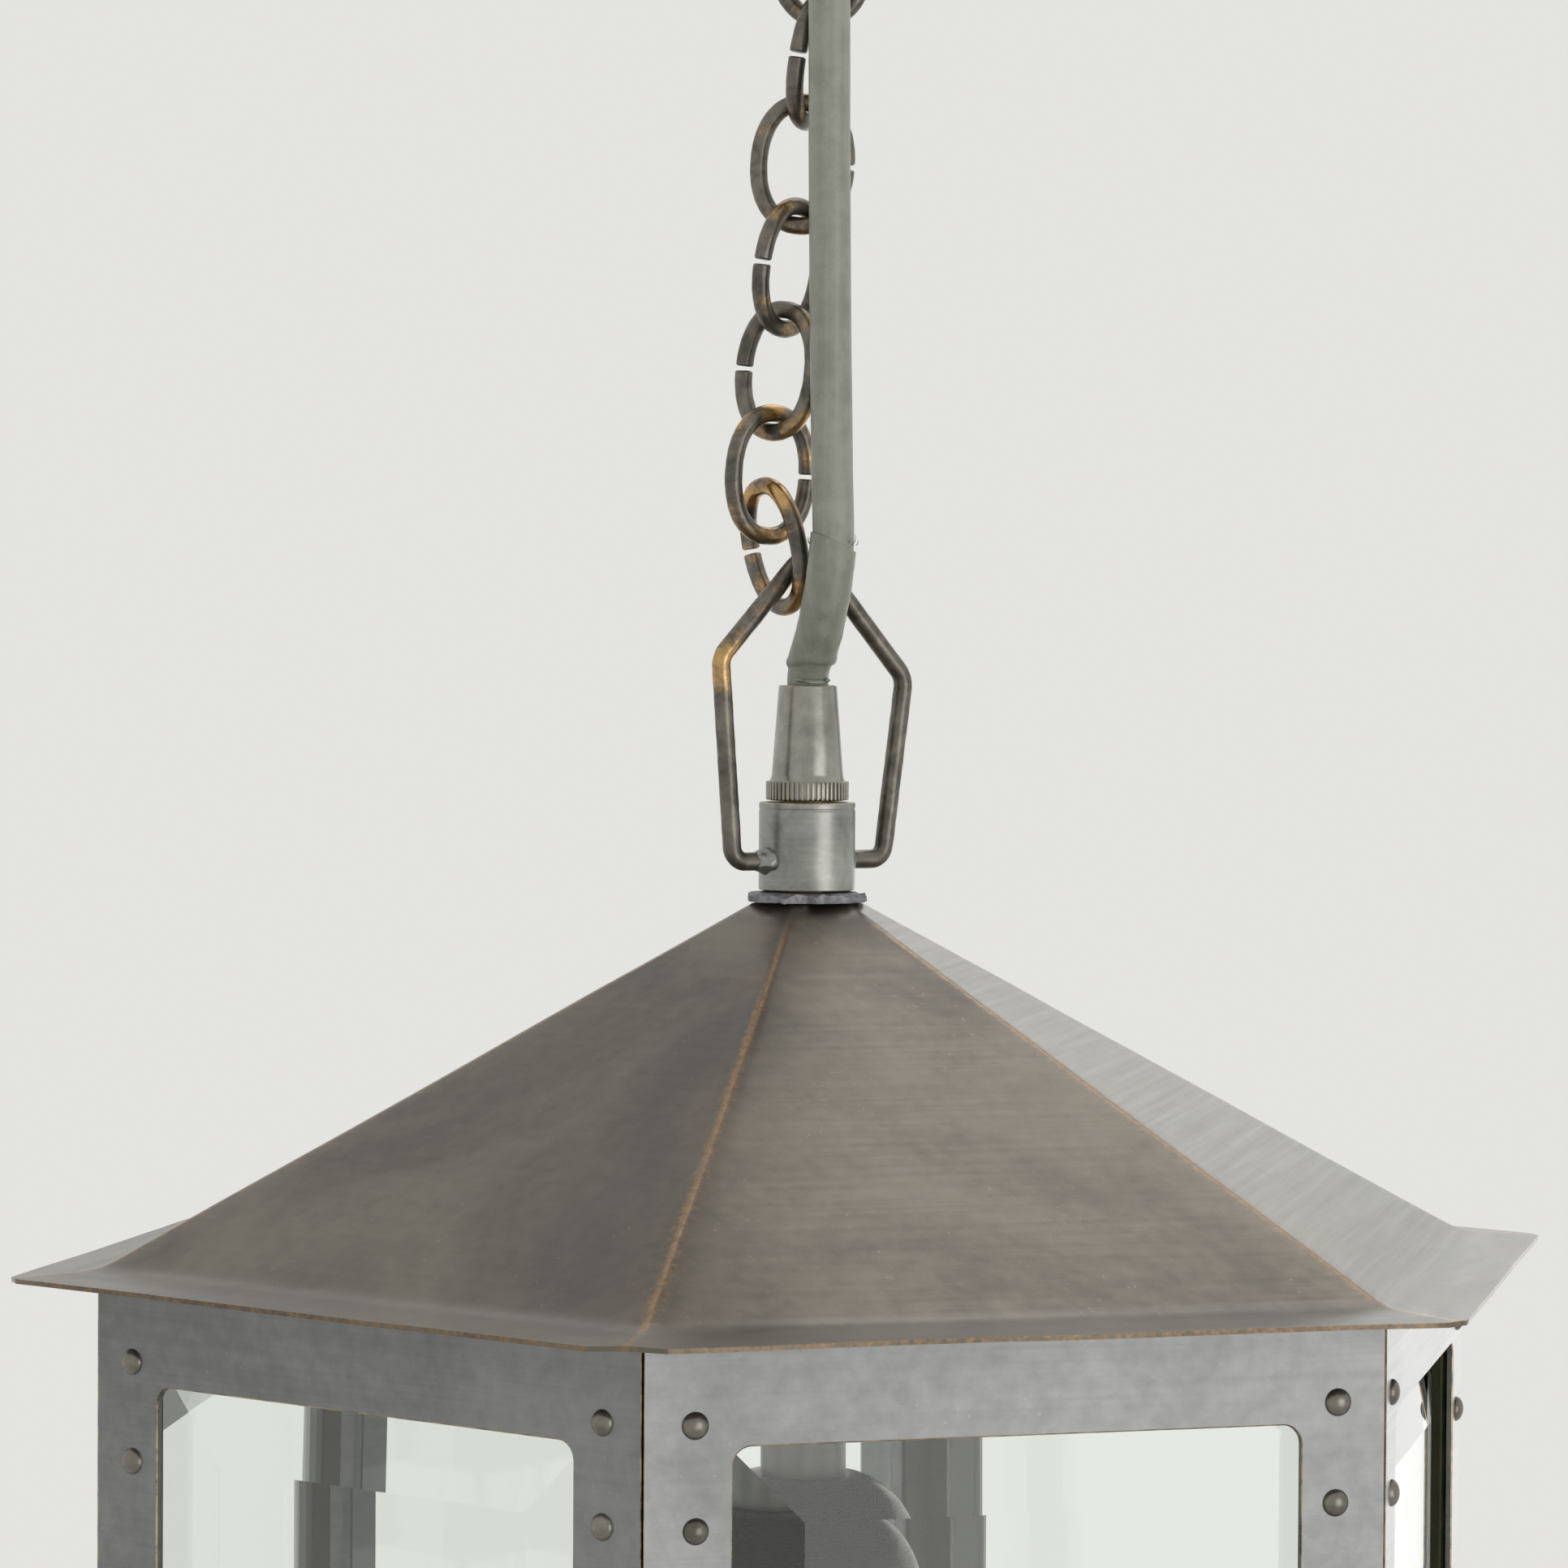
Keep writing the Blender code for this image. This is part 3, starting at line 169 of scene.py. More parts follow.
class Board:
    """The node board of one material."""

    def __init__(self, name: str) -> None:
        """Make a material with an empty Principled board.

        Args:
            name: Name of the material.
        """
        self.material = bpy.data.materials.new(name)
        self.material.use_nodes = True
        self.tree = self.material.node_tree
        self.shader = self.tree.nodes["Principled BSDF"]
        self.place = self.node("ShaderNodeTexCoord").outputs["Object"]

    def node(self, kind: str, settings: dict | None = None, inputs: dict | None = None) -> bpy.types.Node:
        """Add a node.

        Args:
            kind: The node's type.
            settings: Properties that are set before its sockets.
            inputs: Values, Amounts or sockets, by input name or number.

        Returns:
            The new node.
        """
        made = self.tree.nodes.new(kind)
        for key, value in (settings or {}).items():
            setattr(made, key, value)
        for key, value in (inputs or {}).items():
            self.plug(made.inputs[key], value)
        return made

    def plug(self, socket: bpy.types.NodeSocket, value: object) -> None:
        """Link a socket, or set its constant.

        Args:
            socket: The input socket.
            value: An Amount, a socket, a number or a tuple.
        """
        if isinstance(value, Amount):
            self.tree.links.new(value.socket, socket)
        elif isinstance(value, bpy.types.NodeSocket):
            self.tree.links.new(value, socket)
        elif isinstance(value, tuple) and socket.type == "RGBA":
            socket.default_value = (*value, 1.0)
        else:
            socket.default_value = value

    def maths(self, operation: str, first: Amount | float, second: Amount | float) -> Amount:
        """Add a Math node.

        Args:
            operation: The node's operation.
            first: Its first value.
            second: Its second value.

        Returns:
            The result.
        """
        made = self.node("ShaderNodeMath", {"operation": operation}, {0: first, 1: second})
        return Amount(self, made.outputs[0])

    def stretched(self, scale: tuple[float, float, float]) -> bpy.types.NodeSocket:
        """Object coordinates scaled along each axis."""
        made = self.node("ShaderNodeMapping", {}, {"Vector": self.place, "Scale": scale})
        return made.outputs["Vector"]

    def cloud(self, size: float, detail: float = 3.0, roughness: float = 0.55,
              twist: float = 0.0) -> Amount:
        """Fractal noise.

        Args:
            size: Size of its patches.
            detail: Octaves.
            roughness: Strength of the finer octaves.
            twist: Distortion.

        Returns:
            Noise about 0.5.
        """
        made = self.node(
            "ShaderNodeTexNoise", {},
            {"Vector": self.place, "Scale": 1.0 / size, "Detail": detail, "Roughness": roughness,
             "Distortion": twist},
        )
        return Amount(self, made.outputs["Fac"])

    def scratches(self, grain: Grain, coarse: float = 1.0) -> Amount:
        """Noise drawn out into brush lines.

        Args:
            grain: Direction of the brushing.
            coarse: Width of the lines, as a multiple of the usual.

        Returns:
            Noise about 0.5.
        """
        scale = tuple(value / coarse for value in grain.value)
        made = self.node(
            "ShaderNodeTexNoise", {},
            {"Vector": self.stretched(scale), "Scale": 1.0, "Detail": 4.0, "Roughness": 0.6},
        )
        return Amount(self, made.outputs["Fac"])

    def painted(self, name: str) -> Amount:
        """A number painted on the mesh, 0 where the mesh has none of that name."""
        made = self.node("ShaderNodeAttribute", {"attribute_name": name})
        return Amount(self, made.outputs["Fac"])

    def mix(self, share: Amount | float, first: object, second: object) -> bpy.types.NodeSocket:
        """Mix two colours.

        Args:
            share: 0 gives the first colour and 1 the second.
            first: Colour or socket.
            second: Colour or socket.

        Returns:
            The mixed colour's socket.
        """
        made = self.node("ShaderNodeMix", {"data_type": "RGBA", "clamp_factor": True},
                         {"Factor": share})
        self.plug(made.inputs["A"] if made.inputs["A"].type == "RGBA" else made.inputs[6], first)
        self.plug(made.inputs["B"] if made.inputs["B"].type == "RGBA" else made.inputs[7], second)
        return made.outputs[2]

    def relief(self, height: Amount, depth: float) -> None:
        """Bump the surface.

        Args:
            height: Height from 0 to 1.
            depth: Real depth of the relief.
        """
        made = self.node("ShaderNodeBump", {}, {"Height": height, "Distance": depth, "Strength": 1.0})
        self.plug(self.shader.inputs["Normal"], made.outputs["Normal"])

    def shade(self, **values: object) -> bpy.types.Material:
        """Set the shader's inputs.

        Args:
            values: Input names with underscores for spaces.

        Returns:
            The finished material.
        """
        for key, value in values.items():
            self.plug(self.shader.inputs[key.replace("_", " ")], value)
        return self.material


# ---------------------------------------------------------------- finishes


@dataclass(frozen=True)
class Patina:
    """Brass under a patina, rubbed bare on edges and where pieces touch."""

    name: str
    dark: Colour
    light: Colour
    bare: Colour = (0.62, 0.36, 0.15)
    cloud: float = 0.045
    contrast: float = 0.5
    roughness: float = 0.36
    metallic: float = 0.85
    grain: Grain = Grain.LEVEL
    scratch: float = 0.00002
    pitting: float = 0.00004
    brushing: float = 0.5
    specks: float = 0.0
    wear_gain: float = 1.0
    lacquer: float = 0.0
    slot: str = "aged_brass"

    def build(self) -> bpy.types.Material:
        """Build the material."""
        board = Board(self.name)
        big = board.cloud(self.cloud, 4.0, 0.62, 0.6)
        fine = board.cloud(0.0035, 3.0, 0.6)
        lines = board.scratches(self.grain)
        broad = board.scratches(self.grain, 5.0)
        tone = (big - 0.5) * (2.2 * self.contrast) + 0.5
        tone = tone + (lines * 0.6 + broad * 0.4 - 0.5) * self.brushing + (fine - 0.5) * 0.35
        colour = board.mix(tone.step(0.15, 0.85), self.dark, self.light)
        spots = board.cloud(0.0011, 1.0, 0.5).step(0.71, 0.76) * board.cloud(0.02, 2.0).step(0.5, 0.62)
        colour = board.mix(spots * self.specks, colour, (0.62, 0.60, 0.55))
        rub = board.painted("wear") * self.wear_gain + (board.cloud(0.0013, 3.0, 0.65) - 0.5) * 0.8
        bare = rub.step(0.30, 0.85) * board.painted("wear").step(0.02, 0.2)
        colour = board.mix(bare, colour, self.bare)
        rough = (big - 0.5) * 0.22 + (lines - 0.5) * 0.24 + self.roughness - bare * 0.08
        board.relief(lines * (self.scratch / (self.scratch + self.pitting))
                     + fine * (self.pitting / (self.scratch + self.pitting)),
                     self.scratch + self.pitting)
        return board.shade(Base_Color=colour, Roughness=rough.at_least(0.12).at_most(0.9),
                           Metallic=self.metallic + bare * (1.0 - self.metallic),
                           Coat_Weight=self.lacquer, Coat_Roughness=0.28)


@dataclass(frozen=True)
class Solder:
    """Lead-grey solder, dull and lumpy."""

    name: str = "lead_solder"
    dark: Colour = (0.13, 0.13, 0.14)
    light: Colour = (0.42, 0.42, 0.45)
    slot: str = "grey_solder"

    def build(self) -> bpy.types.Material:
        """Build the material."""
        board = Board(self.name)
        lumps = board.cloud(0.0016, 4.0, 0.7)
        patches = board.cloud(0.006, 3.0, 0.6)
        colour = board.mix((lumps * 0.6 + patches * 0.5).step(0.35, 0.75), self.dark, self.light)
        board.relief(lumps, 0.0003)
        return board.shade(Base_Color=colour, Roughness=0.35 + patches * 0.4, Metallic=0.75)


@dataclass(frozen=True)
class FlexSkin:
    """Satin PVC of the flex, a little dusty."""

    name: str
    tint: Colour
    dust: Colour = (0.34, 0.34, 0.30)
    roughness: float = 0.40
    slot: str = "grey_flex"

    def build(self) -> bpy.types.Material:
        """Build the material."""
        board = Board(self.name)
        streaks = board.scratches(Grain.UPRIGHT, 3.0)
        film = board.cloud(0.006, 4.0, 0.65)
        specks = board.cloud(0.0009, 2.0, 0.6).step(0.66, 0.72)
        shade = tuple(value * 0.72 for value in self.tint)
        colour = board.mix((film * 0.6 + streaks * 0.5).step(0.4, 0.7), shade, self.tint)
        colour = board.mix(specks * film * 0.7, colour, self.dust)
        board.relief(streaks * 0.5 + film * 0.5, 0.00005)
        return board.shade(Base_Color=colour, Roughness=self.roughness + (film - 0.5) * 0.25,
                           IOR=1.5)


@dataclass(frozen=True)
class Glass:
    """Clear glass with a faint green cast."""

    name: str = "bevelled_glass"
    tint: Colour = (0.955, 0.985, 0.965)
    ior: float = 1.50
    slot: str = "clear_glass"

    def build(self) -> bpy.types.Material:
        """Build the material."""
        board = Board(self.name)
        dust = board.cloud(0.03, 4.0, 0.6)
        return board.shade(Base_Color=self.tint, Roughness=(dust - 0.5).at_least(0.0) * 0.06,
                           IOR=self.ior, Transmission_Weight=1.0)


@dataclass(frozen=True)
class Moulded:
    """Moulded plastic with faint flow marks."""

    name: str
    tint: Colour
    roughness: float = 0.25
    slot: str = "black_holder"

    def build(self) -> bpy.types.Material:
        """Build the material."""
        board = Board(self.name)
        flow = board.cloud(0.004, 3.0, 0.6)
        lift = tuple(min(1.0, value * 1.5 + 0.01) for value in self.tint)
        colour = board.mix(flow.step(0.4, 0.75), self.tint, lift)
        board.relief(flow, 0.00004)
        return board.shade(Base_Color=colour, Roughness=self.roughness + (flow - 0.5) * 0.2)


@dataclass(frozen=True)
class Plated:
    """Zinc or nickel plate with a fine spangle."""

    name: str
    tint: Colour
    roughness: float = 0.32
    slot: str = "steel"

    def build(self) -> bpy.types.Material:
        """Build the material."""
        board = Board(self.name)
        spangle = board.cloud(0.005, 3.0, 0.6, 0.4)
        lines = board.scratches(Grain.LEVEL)
        shade = tuple(value * 0.7 for value in self.tint)
        colour = board.mix((spangle * 0.7 + lines * 0.4).step(0.4, 0.75), shade, self.tint)
        board.relief(lines * 0.6 + spangle * 0.4, 0.00003)
        return board.shade(Base_Color=colour, Roughness=self.roughness + (spangle - 0.5) * 0.2,
                           Metallic=1.0)


@dataclass(frozen=True)
class Glow:
    """Tungsten wire of the lamp, unlit."""

    name: str = "tungsten"
    slot: str = "steel"

    def build(self) -> bpy.types.Material:
        """Build the material."""
        board = Board(self.name)
        soot = board.cloud(0.001, 2.0)
        return board.shade(Base_Color=board.mix(soot, (0.2, 0.2, 0.2), (0.45, 0.44, 0.42)),
                           Roughness=0.4, Metallic=1.0)


Finish = Patina | Solder | FlexSkin | Glass | Moulded | Plated | Glow


class Finishes:
    """Every finish of the lantern. Each is built once."""

    FRAME = Patina("frame_brass", (0.112, 0.115, 0.114), (0.250, 0.258, 0.258), cloud=0.06,
                   contrast=0.40, roughness=0.36, brushing=0.45, specks=0.10, lacquer=0.8)
    EDGE = Patina("cut_edge_brass", (0.16, 0.13, 0.09), (0.50, 0.38, 0.22), cloud=0.006,
                  contrast=0.9, roughness=0.30, metallic=1.0)
    ROOF = Patina("roof_brass", (0.052, 0.041, 0.030), (0.150, 0.128, 0.098), cloud=0.070,
                  contrast=0.75, roughness=0.40, brushing=0.06, scratch=0.000004, specks=0.12,
                  lacquer=0.55, bare=(0.27, 0.160, 0.075), wear_gain=0.8, slot="roof_brass")
    COLLAR = Patina("collar_brass", (0.185, 0.185, 0.172), (0.400, 0.405, 0.380), cloud=0.010,
                    contrast=0.4, roughness=0.34, scratch=0.00004, bare=(0.58, 0.42, 0.23))
    GRIP = Patina("grip_brass", (0.190, 0.184, 0.165), (0.420, 0.416, 0.375), cloud=0.012,
                  contrast=0.4, roughness=0.26, brushing=0.25, grain=Grain.UPRIGHT,
                  scratch=0.00001, pitting=0.00001, bare=(0.52, 0.36, 0.18))
    WIRE = Patina("worn_wire", (0.080, 0.073, 0.064), (0.215, 0.198, 0.170), cloud=0.006,
                  contrast=0.6, roughness=0.33, bare=(0.56, 0.35, 0.15), grain=Grain.NONE,
                  scratch=0.00001, pitting=0.00005, slot="worn_brass")
    HINGE = Patina("hinge_brass", (0.12, 0.085, 0.05), (0.34, 0.24, 0.13), cloud=0.008,
                   contrast=0.6, roughness=0.34, slot="worn_brass")
    INNER = Patina("inner_brass", (0.044, 0.044, 0.026), (0.110, 0.106, 0.066), cloud=0.05,
                   contrast=0.5, roughness=0.45, grain=Grain.UPRIGHT)
    CUP = Patina("cup_brass", (0.036, 0.036, 0.024), (0.095, 0.092, 0.066), cloud=0.02,
                 contrast=0.4, roughness=0.26, brushing=0.1, scratch=0.000002)
    STEM = Patina("stem_brass", (0.12, 0.12, 0.11), (0.26, 0.26, 0.24), cloud=0.02,
                  contrast=0.3, roughness=0.40)
    ROSE = Patina("rose_brass", (0.095, 0.080, 0.062), (0.240, 0.210, 0.175), cloud=0.03,
                  contrast=0.45, roughness=0.33)
    RIVET = Patina("rivet_brass", (0.110, 0.102, 0.088), (0.290, 0.272, 0.240), cloud=0.01,
                   contrast=0.4, roughness=0.30, grain=Grain.NONE, scratch=0.000005,
                   pitting=0.00002)
    SOLDER = Solder(dark=(0.10, 0.10, 0.115), light=(0.34, 0.34, 0.37))
    FLEX = FlexSkin("flex_skin", (0.290, 0.300, 0.255))
    SLEEVE = FlexSkin("sleeve_skin", (0.265, 0.275, 0.230), roughness=0.40)
    GLASS = Glass()
    LAMP_GLASS = Glass("lamp_glass", (0.98, 0.98, 0.97), 1.45)
    BLACK = Moulded("black_holder", (0.018, 0.018, 0.018))
    ZINC = Plated("zinc_plate", (0.58, 0.58, 0.56))
    NICKEL = Plated("lamp_cap_nickel", (0.66, 0.63, 0.58), 0.25)
    TUNGSTEN = Glow()

    _built: dict[str, bpy.types.Material] = {}

    @classmethod
    def material(cls, finish: Finish) -> bpy.types.Material:
        """The finish's material, built the first time it is asked for."""
        if finish.name not in cls._built:
            cls._built[finish.name] = finish.build()
        return cls._built[finish.name]


# ---------------------------------------------------------------- mesh tools


def chain_point(across: float, toward: float, height: float) -> Vector:
    """Point from its distance across the chain's plane, out of it, and its height."""
    return Matrix.Rotation(CHAIN_TURN, 3, "Z") @ Vector((across, toward, 0.0)) + Vector((0, 0, height))


def smooth_step(value: float, low: float, high: float) -> float:
    """Smooth step from 0 at low to 1 at high."""
    share = min(1.0, max(0.0, (value - low) / (high - low)))
    return share * share * (3.0 - 2.0 * share)


def arc(centre: tuple[float, float], radius: float, start: float, end: float, count: int) -> list:
    """Points of an arc in a plane.

    Args:
        centre: Its centre.
        radius: Its radius.
        start: First angle in degrees.
        end: Last angle in degrees.
        count: Number of steps.

    Returns:
        The points, both ends included.
    """
    turns = [math.radians(start + (end - start) * index / count) for index in range(count + 1)]
    return [(centre[0] + radius * math.cos(turn), centre[1] + radius * math.sin(turn))
            for turn in turns]


def rounded(points: Sequence[Vector], radii: Sequence[float], steps: int = 8) -> list[Vector]:
    """Polyline with its inner corners turned into arcs.

    Args:
        points: Corners, the two ends included.
        radii: Bend radius of each inner corner.
        steps: Steps in each bend.

    Returns:
        The bent line's points.
    """
    result = [points[0]]
    for index in range(1, len(points) - 1):
        corner, radius = points[index], radii[index - 1]
        back = (points[index - 1] - corner).normalized()
        ahead = (points[index + 1] - corner).normalized()
        half = back.angle(ahead) / 2.0
        centre = corner + (back + ahead).normalized() * radius / math.sin(half)
        start = corner + back * (radius / math.tan(half)) - centre
        end = corner + ahead * (radius / math.tan(half)) - centre
        result += [centre + start.slerp(end, count / steps) * radius for count in range(steps + 1)]
    return result + [points[-1]]


def smooth_route(points: Sequence[Vector], spacing: float) -> list[Vector]:
    """Even points along a smooth curve through a route.

    Args:
        points: The route.
        spacing: Distance between the points that are returned.

    Returns:
        The points, both ends included.
    """
    knots = [points[0] * 2.0 - points[1], *points, points[-1] * 2.0 - points[-2]]
    fine: list[Vector] = []
    for index in range(1, len(knots) - 2):
        before, start, end, after = knots[index - 1:index + 3]
        for count in range(16):
            t = count / 16.0
            fine.append(0.5 * (start * 2.0 + (end - before) * t
                               + (before * 2.0 - start * 5.0 + end * 4.0 - after) * t ** 2
                               + (start * 3.0 - before - end * 3.0 + after) * t ** 3))
    fine.append(knots[-2])
    total = sum((second - first).length for first, second in zip(fine, fine[1:]))
    pieces = max(2, round(total / spacing))
    result, walked = [fine[0]], 0.0
    for first, second in zip(fine, fine[1:]):
        step = (second - first).length
        while len(result) < pieces and walked + step >= total * len(result) / pieces:
            result.append(first.lerp(second, (total * len(result) / pieces - walked) / step))
        walked += step
    return result + [fine[-1]]


def frames_along(points: Sequence[Vector]) -> list[Matrix]:
    """Frames along a line, Z ahead, with no twist between one and the next."""
    ahead = [(second - first).normalized() for first, second in zip(points, points[1:])]
    tangents = [ahead[0]] + [(a + b).normalized() for a, b in zip(ahead, ahead[1:])] + [ahead[-1]]
    side = tangents[0].orthogonal().normalized()
    frames = []
    for index, (point, tangent) in enumerate(zip(points, tangents)):
        if index:
            side = side.copy()
            side.rotate(tangents[index - 1].rotation_difference(tangent))
        up = tangent.cross(side).normalized()
        frames.append(Matrix((
            (side.x, up.x, tangent.x, point.x), (side.y, up.y, tangent.y, point.y),
            (side.z, up.z, tangent.z, point.z), (0.0, 0.0, 0.0, 1.0),
        )))
    return frames


def grow_ring(work: bmesh.types.BMesh, edges: list, matrix: Matrix) -> tuple[list, list]:
    """Extrude a loop of edges and move what it made.

    Args:
        work: The mesh.
        edges: The loop's edges.
        matrix: Where the new loop goes.

    Returns:
        The new loop's vertices and its edges.
    """
    grown = bmesh.ops.extrude_edge_only(work, edges=edges)["geom"]
    verts = [item for item in grown if isinstance(item, bmesh.types.BMVert)]
    fresh = set(verts)
    loop = [item for item in grown if isinstance(item, bmesh.types.BMEdge)
            and all(vert in fresh for vert in item.verts)]
    bmesh.ops.transform(work, matrix=matrix, verts=verts)
    return verts, loop


def swept(frames: Sequence[Matrix], radii: Sequence[float], sides: int = 20) -> bmesh.types.BMesh:
    """Round rod along a line of frames, closed at both ends.

    Args:
        frames: Frames along the rod.
        radii: Its radius at each frame.
        sides: Sides of its section.

    Returns:
        The rod's mesh.
    """
    work = bmesh.new()
    bmesh.ops.create_circle(work, cap_ends=True, segments=sides, radius=radii[0], matrix=frames[0])
    edges = list(work.edges)
    for index in range(1, len(frames)):
        scale = Matrix.Scale(radii[index] / radii[index - 1], 4)
        _verts, edges = grow_ring(work, edges, frames[index] @ scale @ frames[index - 1].inverted())
    bmesh.ops.edgeloop_fill(work, edges=edges)
    bmesh.ops.recalc_face_normals(work, faces=work.faces)
    return work


def rod(points: Sequence[Vector], radius: float, sides: int = 20, ease: float = 0.0) -> bmesh.types.BMesh:
    """Round rod of one radius, its ends broken by a small chamfer.

    Args:
        points: Centre line.
        radius: Its radius.
        sides: Sides of its section.
        ease: Size of the chamfer at its two ends.

    Returns:
        The rod's mesh.
    """
    frames = frames_along(points)
    radii = [radius] * len(frames)
    if ease:
        head = frames[0] @ Matrix.Translation((0.0, 0.0, ease))
        tail = frames[-1] @ Matrix.Translation((0.0, 0.0, -ease))
        frames = [frames[0], head, *frames[1:-1], tail, frames[-1]]
        radii = [radius - ease, radius, *radii[1:-1], radius, radius - ease]
    return swept(frames, radii, sides)


def lathed(profile: Profile, steps: int = 64, loop: bool = True) -> bmesh.types.BMesh:
    """Turned shape about the Z axis.

    Args:
        profile: (radius, height) points down the section.
        steps: Steps round the axis.
        loop: True for a ring's closed section, False where it starts and ends on the axis.

    Returns:
        The turned mesh.
    """
    work = bmesh.new()
    verts = [work.verts.new((radius, 0.0, height)) for radius, height in profile]
    edges = [work.edges.new(pair) for pair in zip(verts, verts[1:])]
    if loop:
        edges.append(work.edges.new((verts[-1], verts[0])))
    bmesh.ops.spin(work, geom=verts + edges, cent=(0.0, 0.0, 0.0), axis=(0.0, 0.0, 1.0),
                   angle=math.tau, steps=steps, use_merge=True)
    bmesh.ops.remove_doubles(work, verts=work.verts, dist=0.00002)
    bmesh.ops.recalc_face_normals(work, faces=work.faces)
    return work


def eased(profile: Profile, radius: float = 0.0003, steps: int = 2) -> list[tuple[float, float]]:
    """Section with each of its sharp corners turned into a small arc.

    Args:
        profile: (radius, height) points of a closed section.
        radius: Size of the arcs.
        steps: Steps in each arc.

    Returns:
        The eased section.
    """
    result: list[tuple[float, float]] = []
    points = [Vector((x, 0.0, z)) for x, z in profile]
    for index, corner in enumerate(points):
        back = points[index - 1] - corner
        ahead = points[(index + 1) % len(points)] - corner
        reach = min(radius, back.length * 0.4, ahead.length * 0.4)
        start, end = corner + back.normalized() * reach, corner + ahead.normalized() * reach
        for count in range(steps + 1):
            share = count / steps
            point = start.lerp(corner, share).lerp(corner.lerp(end, share), share)
            result.append((point.x, point.z))
    return result


def face_frame(index: int, setback: float = 0.0, height: float = 0.0) -> Matrix:
    """Stands a plate drawn in XY, its +Z side out, on a face of the body.

    Args:
        index: Face number, counted from the front.
        setback: Distance in from the face.
        height: Height of the plate's centre.

    Returns:
        The matrix.
    """
    return (Matrix.Rotation(STEP * index, 4, "Z")
            @ Matrix.Translation((0.0, -(FACE_APOTHEM - setback), height))
            @ Matrix.Rotation(math.radians(90.0), 4, "X"))


def put(
    name: str,
    work: bmesh.types.BMesh,
    finish: Finish,
    body: Body | tuple[Body, Body, Vector, Vector],
    stands_for: Iterable[str] = (),
    second: Finish | None = None,
    wear: Wear | None = None,
    angle: float = 32.0,
) -> bpy.types.Object:
    """Turn a mesh into a finished piece on its body.

    Args:
        name: The piece's name.
        work: Its mesh, which is freed.
        finish: Its finish.
        body: The body it rides on, or two bodies and two points, which are not used; the piece then stays
            in place on no body.
        stands_for: CAD nodes that it replaces.
        second: Finish of the faces with material number 1.
        wear: How rubbed the surface is at a point, from 0 to 1.
        angle: Edges sharper than this many degrees stay crisp.

    Returns:
        The piece.
    """
    mesh = bpy.data.meshes.new(name)
    work.to_mesh(mesh)
    work.free()
    piece = bpy.data.objects.new(name, mesh)
    bpy.context.scene.collection.objects.link(piece)
    mesh.materials.append(Finishes.material(finish))
    if second:
        mesh.materials.append(Finishes.material(second))
    mesh.shade_smooth()
    mesh.set_sharp_from_angle(angle=math.radians(angle))
    if wear:
        layer = mesh.attributes.new("wear", "FLOAT", "POINT")
        layer.data.foreach_set("value", [wear(vert.co) for vert in mesh.vertices])
    if isinstance(body, Body):
        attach(piece, body.value)
    else:
        first, last, start, end = body
        tuple(start)
        tuple(end)
        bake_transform(piece)
    if stands_for:
        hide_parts(*stands_for)
    LOG.info("%s: %d faces", name, len(mesh.polygons))
    return piece


def dress(finish: Finish, *nodes: str) -> None:
    """Give CAD nodes that stay as they are their finish."""
    for node in nodes:
        mesh = FRAME["nodes"][node].data
        mesh.materials.clear()
        mesh.materials.append(Finishes.material(finish))


def joined(works: Iterable[bmesh.types.BMesh]) -> bmesh.types.BMesh:
    """Several meshes as one; they are freed."""
    total = bmesh.new()
    for work in works:
        mesh = bpy.data.meshes.new("part")
        work.to_mesh(mesh)
        work.free()
        total.from_mesh(mesh)
        bpy.data.meshes.remove(mesh)
    return total


# ---------------------------------------------------------------- sub-assemblies


